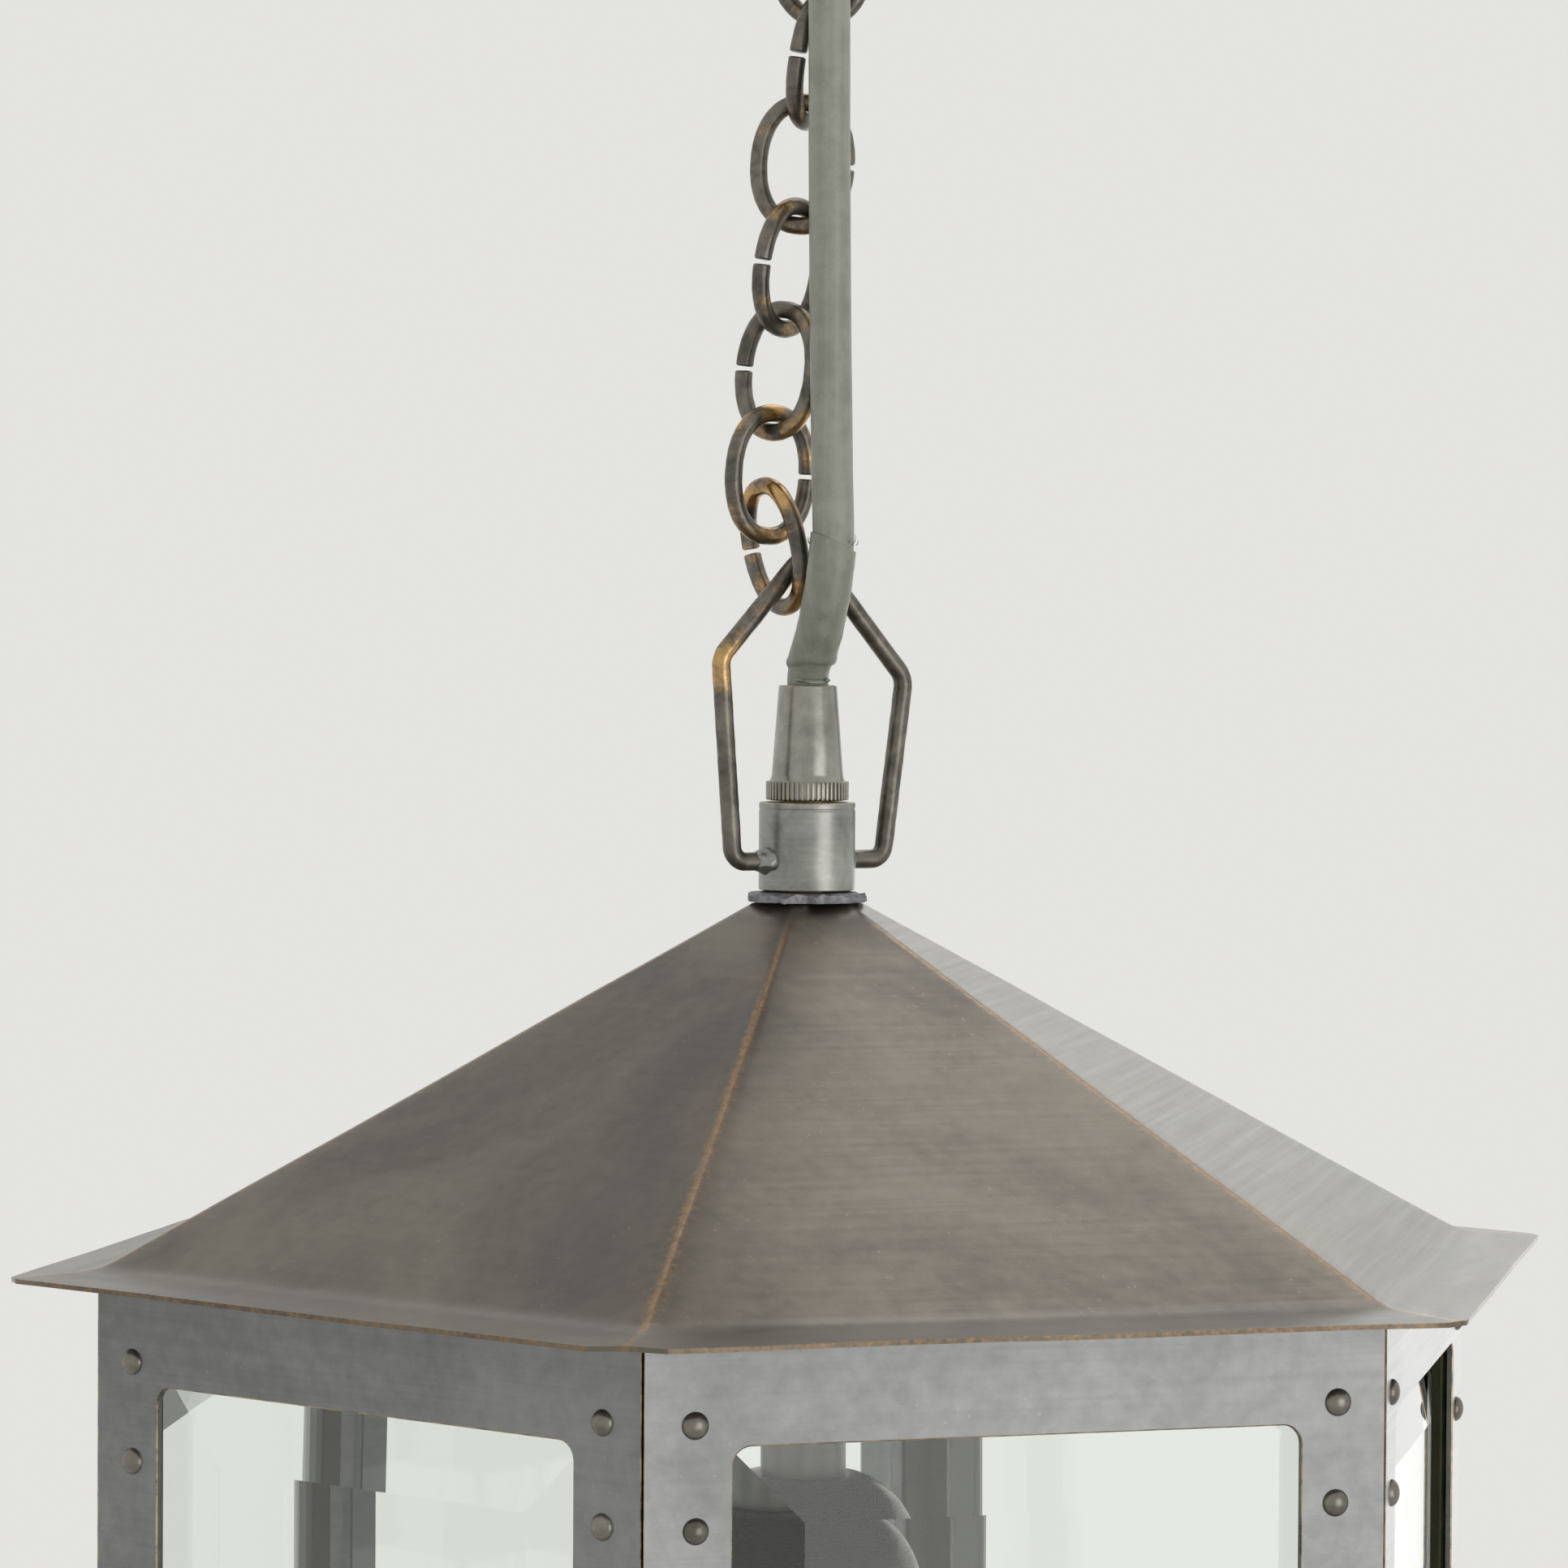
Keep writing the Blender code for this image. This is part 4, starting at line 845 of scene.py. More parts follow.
@dataclass
class Studio:
    """Camera, soft lights, the pale surround and the floor."""

    view_width: float = 0.3026
    distance: float = 1.20
    azimuth: float = -18.3
    elevation: float = 1.76
    aim_left: float = 0.0045
    aim_rise: float = 0.0034
    lean: float = 0.335
    lit_height: float = -0.40
    floor_gap: float = 0.10
    floor_radius: float = 1.15
    surround: Colour = (0.775, 0.770, 0.742)

    def build(self) -> None:
        """Make the camera, the lights and the floor."""
        self.camera()
        self.world()
        self.lamp("key_panel", (0.92, -2.05, -0.50), (1.4, 1.5), 11.0, (1.0, 0.99, 0.965))
        self.lamp("roof_panel", (0.62, 0.62, 1.10), (1.0, 1.0), 4.0, (1.0, 0.985, 0.96))
        self.lamp("back_panel", (1.35, 1.60, -0.85), (1.0, 0.9), 2.2, (1.0, 1.0, 1.0))
        self.lamp("side_panel", (1.02, 1.75, 0.15), (0.8, 0.6), 0.85, (0.95, 1.0, 0.96))
        self.floor()

    def camera(self) -> None:
        """Camera at the lantern's viewing angle."""
        turn, rise = math.radians(self.azimuth), math.radians(self.elevation)
        right = Vector((math.cos(turn), math.sin(turn), 0.0))
        away = Vector((-right.y, right.x, 0.0))
        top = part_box("collar_tube")[1][2]
        aim = Vector((0.0, 0.0, top + self.aim_rise)) - right * self.aim_left
        data = bpy.data.cameras.new("camera")
        data.sensor_width = 36.0
        data.lens = 36.0 * self.distance / self.view_width
        data.clip_start = 0.05
        camera = bpy.data.objects.new("camera", data)
        bpy.context.scene.collection.objects.link(camera)
        look = away * math.cos(rise) + Vector((0.0, 0.0, -math.sin(rise)))
        place = Matrix.Translation(aim - look * self.distance)
        camera.matrix_world = (place @ look.to_track_quat("-Z", "Y").to_matrix().to_4x4()
                               @ Matrix.Rotation(math.radians(self.lean), 4, "Z"))
        bpy.context.scene.camera = camera

    def world(self) -> None:
        """Even, warm white surround."""
        world = bpy.data.worlds.new("surround")
        bpy.context.scene.world = world
        world.use_nodes = True
        back = world.node_tree.nodes["Background"]
        back.inputs["Color"].default_value = (*self.surround, 1.0)
        back.inputs["Strength"].default_value = 1.0
        bpy.context.scene.view_settings.view_transform = "Standard"

    def lamp(self, name: str, place: tuple, size: tuple, power: float, tint: Colour) -> None:
        """Soft rectangular light that faces the lantern's body and isn't seen itself.

        Args:
            name: The light's name.
            place: Where it stands.
            size: Its width and height.
            power: Its power in watts.
            tint: Its colour.
        """
        data = bpy.data.lights.new(name, "AREA")
        data.shape = "RECTANGLE"
        data.size, data.size_y = size
        data.energy = power
        data.color = tint
        light = bpy.data.objects.new(name, data)
        bpy.context.scene.collection.objects.link(light)
        aim = Vector((0.0, 0.0, self.lit_height)) - Vector(place)
        light.matrix_world = (Matrix.Translation(place)
                              @ aim.to_track_quat("-Z", "Y").to_matrix().to_4x4())
        light.visible_camera = False
        light.visible_transmission = False

    def floor(self) -> None:
        """Plain pale round floor under the hanging lantern."""
        work = bmesh.new()
        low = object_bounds()[0][2] - self.floor_gap
        bmesh.ops.create_circle(work, cap_ends=True, segments=96, radius=self.floor_radius,
                                matrix=Matrix.Translation((0.0, 0.0, low)))
        mesh = bpy.data.meshes.new("floor")
        work.to_mesh(mesh)
        work.free()
        floor = bpy.data.objects.new("floor", mesh)
        bpy.context.scene.collection.objects.link(floor)
        board = Board("pale_floor")
        shade = board.mix(board.cloud(0.5), (0.74, 0.735, 0.71), (0.78, 0.775, 0.75))
        mesh.materials.append(board.shade(Base_Color=shade, Roughness=0.8))
        floor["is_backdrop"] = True


@dataclass
class CeilingFitting:
    """Rose, hook and flex gland on the ceiling."""

    rose_radius: float = 0.0520
    rose_depth: float = 0.0240
    rose_wall: float = 0.0010
    hook_radius: float = HOOK_RADIUS
    hook_bend: float = 0.0090
    hook_drop: float = HOOK_DROP
    plate: float = 0.0025
    gland_out: float = 0.0270
    gland_radius: float = 0.0070
    gland_length: float = 0.0110
    flex_radius: float = 0.0040

    def build(self) -> None:
        """Build the three pieces and dress the steel behind them."""
        self.rose()
        self.hook()
        self.gland()
        dress(Finishes.ZINC, "mounting_plate", "hook_boss")

    def rose(self) -> None:
        """Spun rose with a rounded shoulder and a beaded rim."""
        floor, shoulder = -self.rose_depth, self.rose_depth * 0.45
        flat = self.rose_radius - shoulder
        hole = self.hook_radius + 2.0 * CLEARANCE
        outer = arc((self.rose_radius - 0.0004, -0.0012), 0.0011, 90.0, -70.0, 6)
        outer += arc((flat, floor + shoulder), shoulder, 0.0, -90.0, 14)
        outer += [(flat * 0.55, floor), (flat * 0.5, floor - 0.0004), (hole + 0.006, floor - 0.0004),
                  (hole + 0.005, floor - 0.0012), (hole, floor - 0.0012)]
        inner = [(hole, floor + self.rose_wall)]
        inner += arc((flat, floor + shoulder), shoulder - self.rose_wall, -90.0, 0.0, 14)
        inner.append((self.rose_radius - 0.0012, -0.0003))
        rim = self.rose_radius
        put("rose_shell", lathed(outer + inner, 96), Finishes.ROSE, Body.CEILING, ["ceiling_rose"],
            wear=lambda co: 0.20 * smooth_step(math.hypot(co.x, co.y), rim - 0.0015, rim))

    def hook(self) -> None:
        """Bent rod that leaves the boss straight and closes under the chain."""
        bend, low = self.hook_bend, -self.hook_drop + self.hook_bend
        start = -self.plate - CLEARANCE
        line = [(0.0, start), (0.0, start - 0.010), (0.0, low + bend * 2.6), (0.0004, low + bend * 2.0),
                (bend * 0.45, low + bend * 1.45), (bend * 0.9, low + bend * 0.75)]
        line += [(bend * math.cos(turn), low + bend * math.sin(turn))
                 for turn in (math.radians(-15.0 * count) for count in range(14))]
        points = smooth_route([chain_point(x, 0.0, z) for x, z in line], 0.0011)
        seat = chain_point(0.0, 0.0, -self.hook_drop + self.hook_radius)
        put("hook_rod", rod(points, self.hook_radius, 24, 0.0007), Finishes.ROSE, Body.CEILING,
            ["ceiling_hook"],
            wear=lambda co: 1.0 - smooth_step((co - seat).length, 0.0015, 0.0055))

    def gland(self) -> None:
        """Clamping gland with a milled nut."""
        top, radius, bore = -self.rose_depth - CLEARANCE, self.gland_radius, self.flex_radius + CLEARANCE
        low = top - self.gland_length
        section = [(bore, top), (radius, top), (radius, top - 0.0022), (radius - 0.0009, top - 0.0026),
                   (radius - 0.0009, top - 0.0032), (radius, top - 0.0036),
                   (radius, low + 0.0034), (radius - 0.0017, low), (bore, low)]
        work = lathed(eased(section), 64)
        place = chain_point(0.0, -self.gland_out, 0.0)
        bmesh.ops.translate(work, vec=place, verts=work.verts)
        put("gland_nut", work, Finishes.GRIP, Body.CEILING, ["flex_gland"],
            wear=lambda co: 0.5 * smooth_step(math.hypot(co.x - place.x, co.y - place.y),
                                              radius - 0.0003, radius))


@dataclass
class Chain:
    """Eight open-jointed oval links between the hook and the bail."""

    wire: float = CHAIN_WIRE
    eye_length: float = 0.0203
    eye_width: float = 0.0134
    joint: float = 0.0009
    squareness: float = 2.2
    hook_seat: float = -HOOK_DROP + CHAIN_WIRE / 2.0 + HOOK_RADIUS + CLEARANCE
    leans: tuple[float, ...] = (0.0, 6.7, -9.0, -4.0, -8.0, -5.3, -3.0)
    turns: tuple[float, ...] = (90.0, 0.0, 68.0, 0.0, 50.0, -38.0, 33.0)
    flips: tuple[int, ...] = (1, 1, 1, 0, 1, 1, 0)
    rubbing: tuple[float, ...] = (0.55, 0.60, 0.62, 0.66, 0.70, 0.78, 0.95)
    bottom_lean: float = 11.7
    bottom_turn: float = -57.0
    bottom_shift: float = 0.0015
    bottom_drop: float = 0.0020
    bottom_rubbing: float = 1.15

    def __post_init__(self) -> None:
        """Work out the centre line's half sizes."""
        self.half = (self.eye_length + self.wire) / 2.0
        self.side = (self.eye_width + self.wire) / 2.0

    def build(self) -> None:
        """Hang each link in the one above it."""
        top, bottom = Vector((0.0, self.hook_seat)), Vector((0.0, 0.0))
        for index, (lean, turn, flip) in enumerate(zip(self.leans, self.turns, self.flips)):
            down = Vector((math.sin(math.radians(lean)), -math.cos(math.radians(lean))))
            centre = top + down * self.half
            bottom = top + down * self.half * 2.0
            body = Body.TOP_LINK if index == 0 else Body.CHAIN
            self.link(len(self.leans) + 1 - index, centre, lean, turn, flip, body, self.rubbing[index])
            top = bottom - down * (self.wire + CLEARANCE)
        low = bottom + Vector((self.bottom_shift, -self.bottom_drop))
        self.link(1, low, self.bottom_lean, self.bottom_turn, 1, Body.BOTTOM_LINK,
                  self.bottom_rubbing)

    def line(self, flip: int) -> list[Vector]:
        """Centre line of a link in its own XZ plane, from one side of its butt joint to the other."""
        start, count = math.asin(self.joint / 2.0 / self.half), 84
        points = []
        for index in range(count + 1):
            turn = start + (math.tau - 2.0 * start) * index / count
            across = math.copysign(abs(math.cos(turn)) ** (2.0 / self.squareness), math.cos(turn))
            up = math.copysign(abs(math.sin(turn)) ** (2.0 / self.squareness), math.sin(turn))
            points.append(Vector((across * self.side * (-1 if flip else 1), 0.0, up * self.half)))
        points[0].z, points[-1].z = self.joint / 2.0, -self.joint / 2.0
        return points

    def link(self, number: int, centre: Vector, lean: float, turn: float, flip: int, body: Body,
             rubbing: float) -> None:
        """Bend one link and put it in its place.

        Args:
            number: Its number, counted up from the bail.
            centre: Its centre, across and up in the chain's plane.
            lean: Its lean in that plane, in degrees.
            turn: Its turn about its own long axis, in degrees.
            flip: 1 puts the butt joint on the other side.
            body: The body it rides on.
            rubbing: How far its contacts are rubbed bare.
        """
        place = (Matrix.Translation(chain_point(centre.x, 0.0, centre.y))
                 @ Matrix.Rotation(CHAIN_TURN, 4, "Z")
                 @ Matrix.Rotation(math.radians(-lean), 4, "Y")
                 @ Matrix.Rotation(math.radians(turn), 4, "Z"))
        work = rod(self.line(flip), self.wire / 2.0, 20, 0.00025)
        for vert in work.verts:
            vert.co += vert.normal * 0.00006 * noise.noise(vert.co * 700.0 + Vector((number * 7, 0, 0)))
        bmesh.ops.transform(work, matrix=place, verts=work.verts)
        back = place.inverted()

        def wear(co: Vector) -> float:
            """Rubbed where the next link bears and a little along the flanks."""
            own = back @ co
            near = smooth_step(abs(own.z), self.half * 0.25, self.half * 0.95)
            patch = noise.noise(co * 210.0 + Vector((number * 5.0, 0.0, 0.0)))
            return rubbing * (0.26 + 0.30 * near + 0.55 * patch)

        put("link_ring_" + str(number), work, Finishes.WIRE, body, ["chain_link_" + str(number)],
            wear=wear)


@dataclass
class Flex:
    """Round flex from the ceiling gland to the cord grip, and the sleeve round its end."""

    radius: float = 0.0040
    sleeve_wall: float = 0.0005
    blind: float = 0.0060
    spacing: float = 0.0020
    mouth_tilt: float = 19.0
    route: tuple = (
        (0.0000, -0.0270, 0.2310), (0.0000, -0.0270, 0.2240), (0.0002, -0.0260, 0.2150),
        (0.0007, -0.0232, 0.2050), (0.0014, -0.0190, 0.1950), (0.0022, -0.0150, 0.1850),
        (0.0028, -0.0122, 0.1740), (0.0032, -0.0108, 0.1600), (0.0034, -0.0104, 0.1430),
        (0.0035, -0.0104, 0.1250), (0.0037, -0.0104, 0.1080), (0.0039, -0.0104, 0.0910),
        (0.0042, -0.0105, 0.0750), (0.0044, -0.0107, 0.0630), (0.0047, -0.0110, 0.0510),
    )
    sleeve_route: tuple = (
        (0.0047, -0.0110, 0.0500), (0.0043, -0.0111, 0.0460), (0.0035, -0.0103, 0.0400),
        (0.0024, -0.0074, 0.0340), (0.0010, -0.0030, 0.0285), (0.0001, -0.0003, 0.0250),
        (0.0000, 0.0000, 0.0220), (0.0000, 0.0000, 0.0060),
    )
    splits: tuple[float, float] = (0.1830, 0.1180)
    end_rise: float = 0.0455

    def __post_init__(self) -> None:
        """Read the height that the route is measured from."""
        self.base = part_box("collar_tube")[1][2]

    def points(self, route: Sequence[tuple[float, float, float]]) -> list[Vector]:
        """World points of a route."""
        return [chain_point(across, toward, self.base + rise) for across, toward, rise in route]

    def height(self, rise: float) -> Vector:
        """Point on the lantern's axis at a rise above the collar."""
        return Vector((0.0, 0.0, self.base + rise))

    def build(self) -> None:
        """Build the three stretches of flex, the sleeve and its frayed end."""
        line = smooth_route(self.points((*self.route, *self.sleeve_route[1:3])), self.spacing)
        first, second = (self.base + split for split in self.splits)
        middle = self._between(line, first, second)
        self.stretch("flex_top", self._between(line, line[0].z, first), "flex_upper",
                     (Body.CEILING, Body.TOP_LINK, self.height(0.222), self.height(0.186)))
        self.stretch("flex_middle", middle, "flex_main",
                     (Body.TOP_LINK, Body.CHAIN, self.height(0.182), self.height(0.125)))
        self.stretch("flex_low", self._between(line, second, self.base + self.end_rise), "flex_main",
                     (Body.CHAIN, Body.BOTTOM_LINK, self.height(0.112), self.height(0.054)),
                     [self.sleeve()])

    def _between(self, line: Sequence[Vector], high: float, low: float) -> list[Vector]:
        """Stretch of the line from one height down to another, cut square at both."""
        inside = [point for point in line if low + 0.0007 < point.z < high - 0.0007]
        return [self._at(line, high), *inside, self._at(line, low)]

    def _at(self, line: Sequence[Vector], height: float) -> Vector:
        """Point of the line at a height."""
        index = next((index for index, point in enumerate(line) if index and point.z <= height), 1)
        before, after = line[index - 1], line[index]
        return before.lerp(after, (before.z - height) / (before.z - after.z))

    def stretch(self, name: str, line: list[Vector], node: str,
                body: tuple[Body, Body, Vector, Vector],
                pieces: Sequence[bpy.types.Object] = ()) -> None:
        """One stretch of the flex.

        Args:
            name: The piece's name.
            line: Its centre line.
            node: CAD node that it replaces.
            body: The two bodies and the two points, passed on to put, which does not use them.
            pieces: Not used.
        """
        frames = frames_along(line)
        piece = put(name, swept(frames, [self.radius] * len(frames), 32), Finishes.FLEX, body, [node])
        length = sum((b - a).length for a, b in zip(line, line[1:]))
        tuple(line[0])
        [tuple(point) for point in line]

    def sleeve(self) -> bpy.types.Object:
        """Sleeve with a blind bore at its cut mouth, loose threads there, and a neck at its foot."""
        outer = self.radius + self.sleeve_wall
        line = smooth_route(self.points(self.sleeve_route), 0.0013)
        line = [line[0], line[1], *smooth_route(line[2:], 0.00045)]
        frames = frames_along(line)
        axis = self._mouth_axis(frames[0])
        tilt = Matrix.Rotation(math.radians(self.mouth_tilt), 4, axis)
        longer = 1.0 / math.cos(math.radians(self.mouth_tilt))
        mouth = frames[0] @ tilt @ Matrix.Scale(longer, 4, axis.cross(Vector((0.0, 0.0, 1.0))))
        deep = [frames[6], frames[2]]
        bore = self.radius + 0.00012
        work = swept([*deep, mouth, mouth, *frames[2:]],
                     [bore, bore, bore, outer] + [outer] * (len(frames) - 2), 40)
        crease = self.height(0.0264)
        for vert in work.verts:
            above = vert.co.z + 0.0005 * noise.noise(vert.co * 160.0) - crease.z
            push = 0.00010 * noise.noise(vert.co * 260.0) + 0.00005 * noise.noise(vert.co * 900.0)
            push -= 0.00050 * (1.0 - smooth_step(above, -0.0003, 0.0003))
            push += 0.00020 * math.exp(-((above - 0.0009) / 0.0008) ** 2)
            if (vert.co - frames[0].translation).length > self.blind:
                vert.co += vert.normal * push
        self.threads(frames[0], outer)
        return put("sleeve_tube", work, Finishes.SLEEVE,
                   (Body.BOTTOM_LINK, Body.LANTERN, self.height(0.0490), self.height(0.0235)),
                   ["cord_sleeve"])

    def _mouth_axis(self, frame: Matrix) -> Vector:
        """Axis in a frame that points away from the front, so that the mouth slants to the right."""
        away = chain_point(0.0, 1.0, 0.0)
        return frame.to_3x3().inverted() @ away

    def threads(self, frame: Matrix, outer: float) -> None:
        """Loose threads at the sleeve's cut mouth."""
        rng = random.Random(7)
        works = []
        for count in range(9):
            turn = math.radians(150.0 + 26.0 * count + rng.uniform(-8.0, 8.0))
            side = chain_point(math.cos(turn), -abs(math.sin(turn)) * 0.7, 0.0)
            side.z = 0.0
            root = frame.translation + side * (outer - 0.0001) - Vector((0, 0, 0.0006))
            reach = rng.uniform(0.0008, 0.0022)
            tip = root + side * reach * rng.uniform(0.2, 0.7) + Vector((0.0, 0.0, reach))
            middle = root.lerp(tip, 0.5) + side * reach * 0.18
            frames = frames_along(smooth_route([root, middle, tip], 0.0003))
            radii = [0.00011 - 0.00006 * index / len(frames) for index in range(len(frames))]
            works.append(swept(frames, radii, 6))
        put("sleeve_threads", joined(works), Finishes.SLEEVE, Body.BOTTOM_LINK)


@dataclass
class Bail:
    """Bent rod from one side of the collar up over the chain's bottom link."""

    radius: float = 0.0018
    turn: float = math.radians(14.5)
    bends: tuple[float, ...] = (0.0030, 0.0045, 0.0045, 0.0045, 0.0030)
    crown_rise: float = 0.0470
    foot_drop: float = 0.0113
    foot_depth: float = 0.0022
    collar_radius: float = 0.0093
    sides: tuple = ((0.0169, 0.0199, 0.0279), (0.0175, 0.0223, 0.0238))

    def line(self) -> list[Vector]:
        """Centre line from one foot to the other."""
        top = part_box("collar_tube")[1][2]
        foot, inner, crown = top - self.foot_drop, self.collar_radius - self.foot_depth, self.crown_rise
        slope = sum(out / (crown - rise) for _elbow, out, rise in self.sides) / 2.0
        sharp = self.bends[2] * (1.0 / math.sin(math.atan(slope)) - 1.0)
        left, right = self.sides
        corners = [(-inner, foot), (-left[0], foot), (-left[1], top + left[2]),
                   (0.0, top + crown + sharp), (right[1], top + right[2]), (right[0], foot),
                   (inner, foot)]
        turn = Matrix.Rotation(self.turn, 3, "Z")
        return rounded([turn @ Vector((x, 0.0, z)) for x, z in corners], self.bends, 10)

    def build(self) -> None:
        """Bend the rod and run solder round its feet."""
        line = self.line()
        fine = []
        for first, second in zip(line, line[1:]):
            parts = max(1, round((second - first).length / 0.0012))
            fine += [first.lerp(second, step / parts) for step in range(parts)]
        work = rod(fine + [line[-1]], self.radius, 24, 0.0002)
        for vert in work.verts:
            vert.co += vert.normal * 0.00007 * noise.noise(vert.co * 500.0)
        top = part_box("collar_tube")[1][2]
        turn = Matrix.Rotation(self.turn, 3, "Z")
        left, right = self.sides
        spots = [(turn @ Vector((-left[1] - 0.0010, 0.0, top + left[2] - 0.0010)), 0.012, 0.48),
                 (turn @ Vector((-left[1] * 0.45, 0.0, top + self.crown_rise - 0.009)), 0.010, 0.22),
                 (turn @ Vector((right[1], 0.0, top + right[2])), 0.006, 0.10),
                 (Vector((0.0, 0.0, top + self.crown_rise + 0.0010)), 0.0060, 0.40)]

        def wear(co: Vector) -> float:
            """Rubbed at its left bend and under its crown, in patches elsewhere."""
            patch = noise.noise(co * 130.0) + 0.5 * noise.noise(co * 420.0)
            rub = max(amount * (1.0 - smooth_step((co - spot).length, reach * 0.2, reach))
                      for spot, reach, amount in spots)
            return 0.16 + rub + 0.30 * patch

        put("bail_rod", work, Finishes.WIRE, Body.LANTERN, ["bail_loop"], wear=wear)
        self.fillets(top)

    def fillets(self, top: float) -> None:
        """Lumpy solder where the feet enter the collar."""
        works = []
        for side, size in ((-1.0, 0.0030), (1.0, 0.0018)):
            lump = bmesh.new()
            bmesh.ops.create_icosphere(lump, subdivisions=4, radius=1.0)
            for vert in lump.verts:
                vert.co *= 1.0 + 0.22 * noise.noise(vert.co * 1.7 + Vector((side * 9.0, 3.0, 0.0)))
            place = (Matrix.Rotation(self.turn, 4, "Z")
                     @ Matrix.Translation((side * self.collar_radius, 0.0, top - self.foot_drop))
                     @ Matrix.Diagonal((size, self.radius + size * 0.45, self.radius + size * 0.2, 1.0)))
            bmesh.ops.transform(lump, matrix=place, verts=lump.verts)
            works.append(lump)
        put("bail_fillets", joined(works), Finishes.COLLAR, Body.LANTERN)


@dataclass
class Collar:
    """Collar, the solder under it, and the cord grip screwed on top."""

    thread: float = 0.0050
    radius: float = 0.0093
    height: float = 0.0170
    washer_radius: float = 0.0112
    washer_thick: float = 0.0019
    grip_bore: float = 0.0048
    grip_top: float = 0.0056
    grip_base: float = 0.0069
    grip_height: float = 0.0225
    knurl_radius: float = 0.0080
    knurl_height: float = 0.0038
    knurl_shoulder: float = 0.0009
    teeth: int = 50
    screwed_in: float = 0.0030

    def build(self) -> None:
        """Build the stack from the roof up."""
        self.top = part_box("collar_tube")[1][2]
        self.tube()
        self.solder()
        self.grip()
        dress(Finishes.HINGE, "thread_tube")
        dress(Finishes.FLEX, "inner_lead")

    def tube(self) -> None:
        """Turned collar, worn at its rim."""
        top, low, bore = self.top, self.top - self.height, self.thread + CLEARANCE
        section = [(bore, top), (self.radius, top), (self.radius, top - 0.0011),
                   (self.radius - 0.00012, top - 0.0014), (self.radius, top - 0.0017),
                   (self.radius, low), (bore, low)]
        put("collar_sleeve", lathed(eased(section, 0.0004, 3), 96), Finishes.COLLAR, Body.LANTERN,
            ["collar_tube"],
            wear=lambda co: 0.50 * smooth_step(co.z, top - 0.0012, top - 0.0002)
            + 0.30 * (1.0 - smooth_step(co.z, low + 0.0002, low + 0.0012)))

    def solder(self) -> None:
        """Ragged disc of solder between the collar and the roof."""
        top = self.top - self.height - CLEARANCE
        low, bore = top - self.washer_thick, self.thread + CLEARANCE
        steps = 9
        radii = [bore + (self.washer_radius - bore) * index / steps for index in range(steps + 1)]
        section = [(radius, top) for radius in radii] + [(self.washer_radius + 0.0001, (top + low) / 2.0)]
        section += [(radius, low) for radius in reversed(radii)]
        work = lathed(section, 128)
        notch = chain_point(0.0015, -1.0, 0.0).normalized()
        for vert in work.verts:
            flat = Vector((vert.co.x, vert.co.y, 0.0))
            rim = smooth_step(flat.length, self.radius - 0.0006, self.washer_radius)
            ragged = 0.00070 * noise.noise(flat.normalized() * 3.1) + 0.00060 * noise.noise(
                flat.normalized() * 8.0)
            bite = 0.0013 * math.exp(-((flat.normalized() - notch).length / 0.07) ** 2)
            vert.co += flat.normalized() * rim * (ragged - bite)
            droop = 0.0009 * (0.6 + noise.noise(flat * 300.0) + 0.5 * noise.noise(flat * 800.0))
            if vert.co.z > (top + low) / 2.0:
                vert.co.z -= rim * max(0.0, droop)
        put("apex_solder", work, Finishes.SOLDER, Body.LANTERN, ["apex_washer"], angle=60.0)

    def grip(self) -> None:
        """Tapered grip and its ring of knurl teeth."""
        base, top = self.top + CLEARANCE, self.top + self.grip_height
        shoulder, inner = base + self.knurl_height, base + self.screwed_in + 2.0 * CLEARANCE
        core, bore = self.knurl_radius - 0.00042, self.thread + CLEARANCE
        section = [(self.grip_bore, top), (self.grip_top, top),
                   (self.grip_base, shoulder + self.knurl_shoulder),
                   (core - 0.0003, shoulder), (core, shoulder - 0.0004), (core, base + 0.0004),
                   (core - 0.0003, base), (bore, base), (bore, inner), (self.grip_bore, inner)]
        put("grip_cone", lathed(eased(section, 0.00035, 3), 96), Finishes.GRIP, Body.GRIP,
            ["cord_grip"],
            wear=lambda co: 0.35 * smooth_step(co.z, top - 0.0005, top - 0.0001))
        tooth = bmesh.new()
        size = (0.0010, math.tau * self.knurl_radius / self.teeth * 0.62, self.knurl_height - 0.0002)
        place = Matrix.Translation((self.knurl_radius - size[0] / 2.0, 0.0,
                                    base + self.knurl_height / 2.0))
        bmesh.ops.create_cube(tooth, size=1.0, matrix=place @ Matrix.Diagonal((*size, 1.0)))
        bmesh.ops.bevel(tooth, geom=tooth.edges[:], offset=0.00022, offset_type="OFFSET", segments=2,
                        profile=0.5, affect="EDGES", material=-1)
        bmesh.ops.spin(tooth, geom=tooth.verts[:] + tooth.edges[:] + tooth.faces[:],
                       cent=(0.0, 0.0, 0.0), axis=(0.0, 0.0, 1.0), use_duplicate=True,
                       angle=math.tau * (self.teeth - 1) / self.teeth, steps=self.teeth - 1)
        bmesh.ops.recalc_face_normals(tooth, faces=tooth.faces)
        reach = self.knurl_radius
        put("grip_knurl", tooth, Finishes.GRIP, Body.GRIP, angle=40.0,
            wear=lambda co: 0.42 * smooth_step(math.hypot(co.x, co.y), reach - 0.0002, reach))


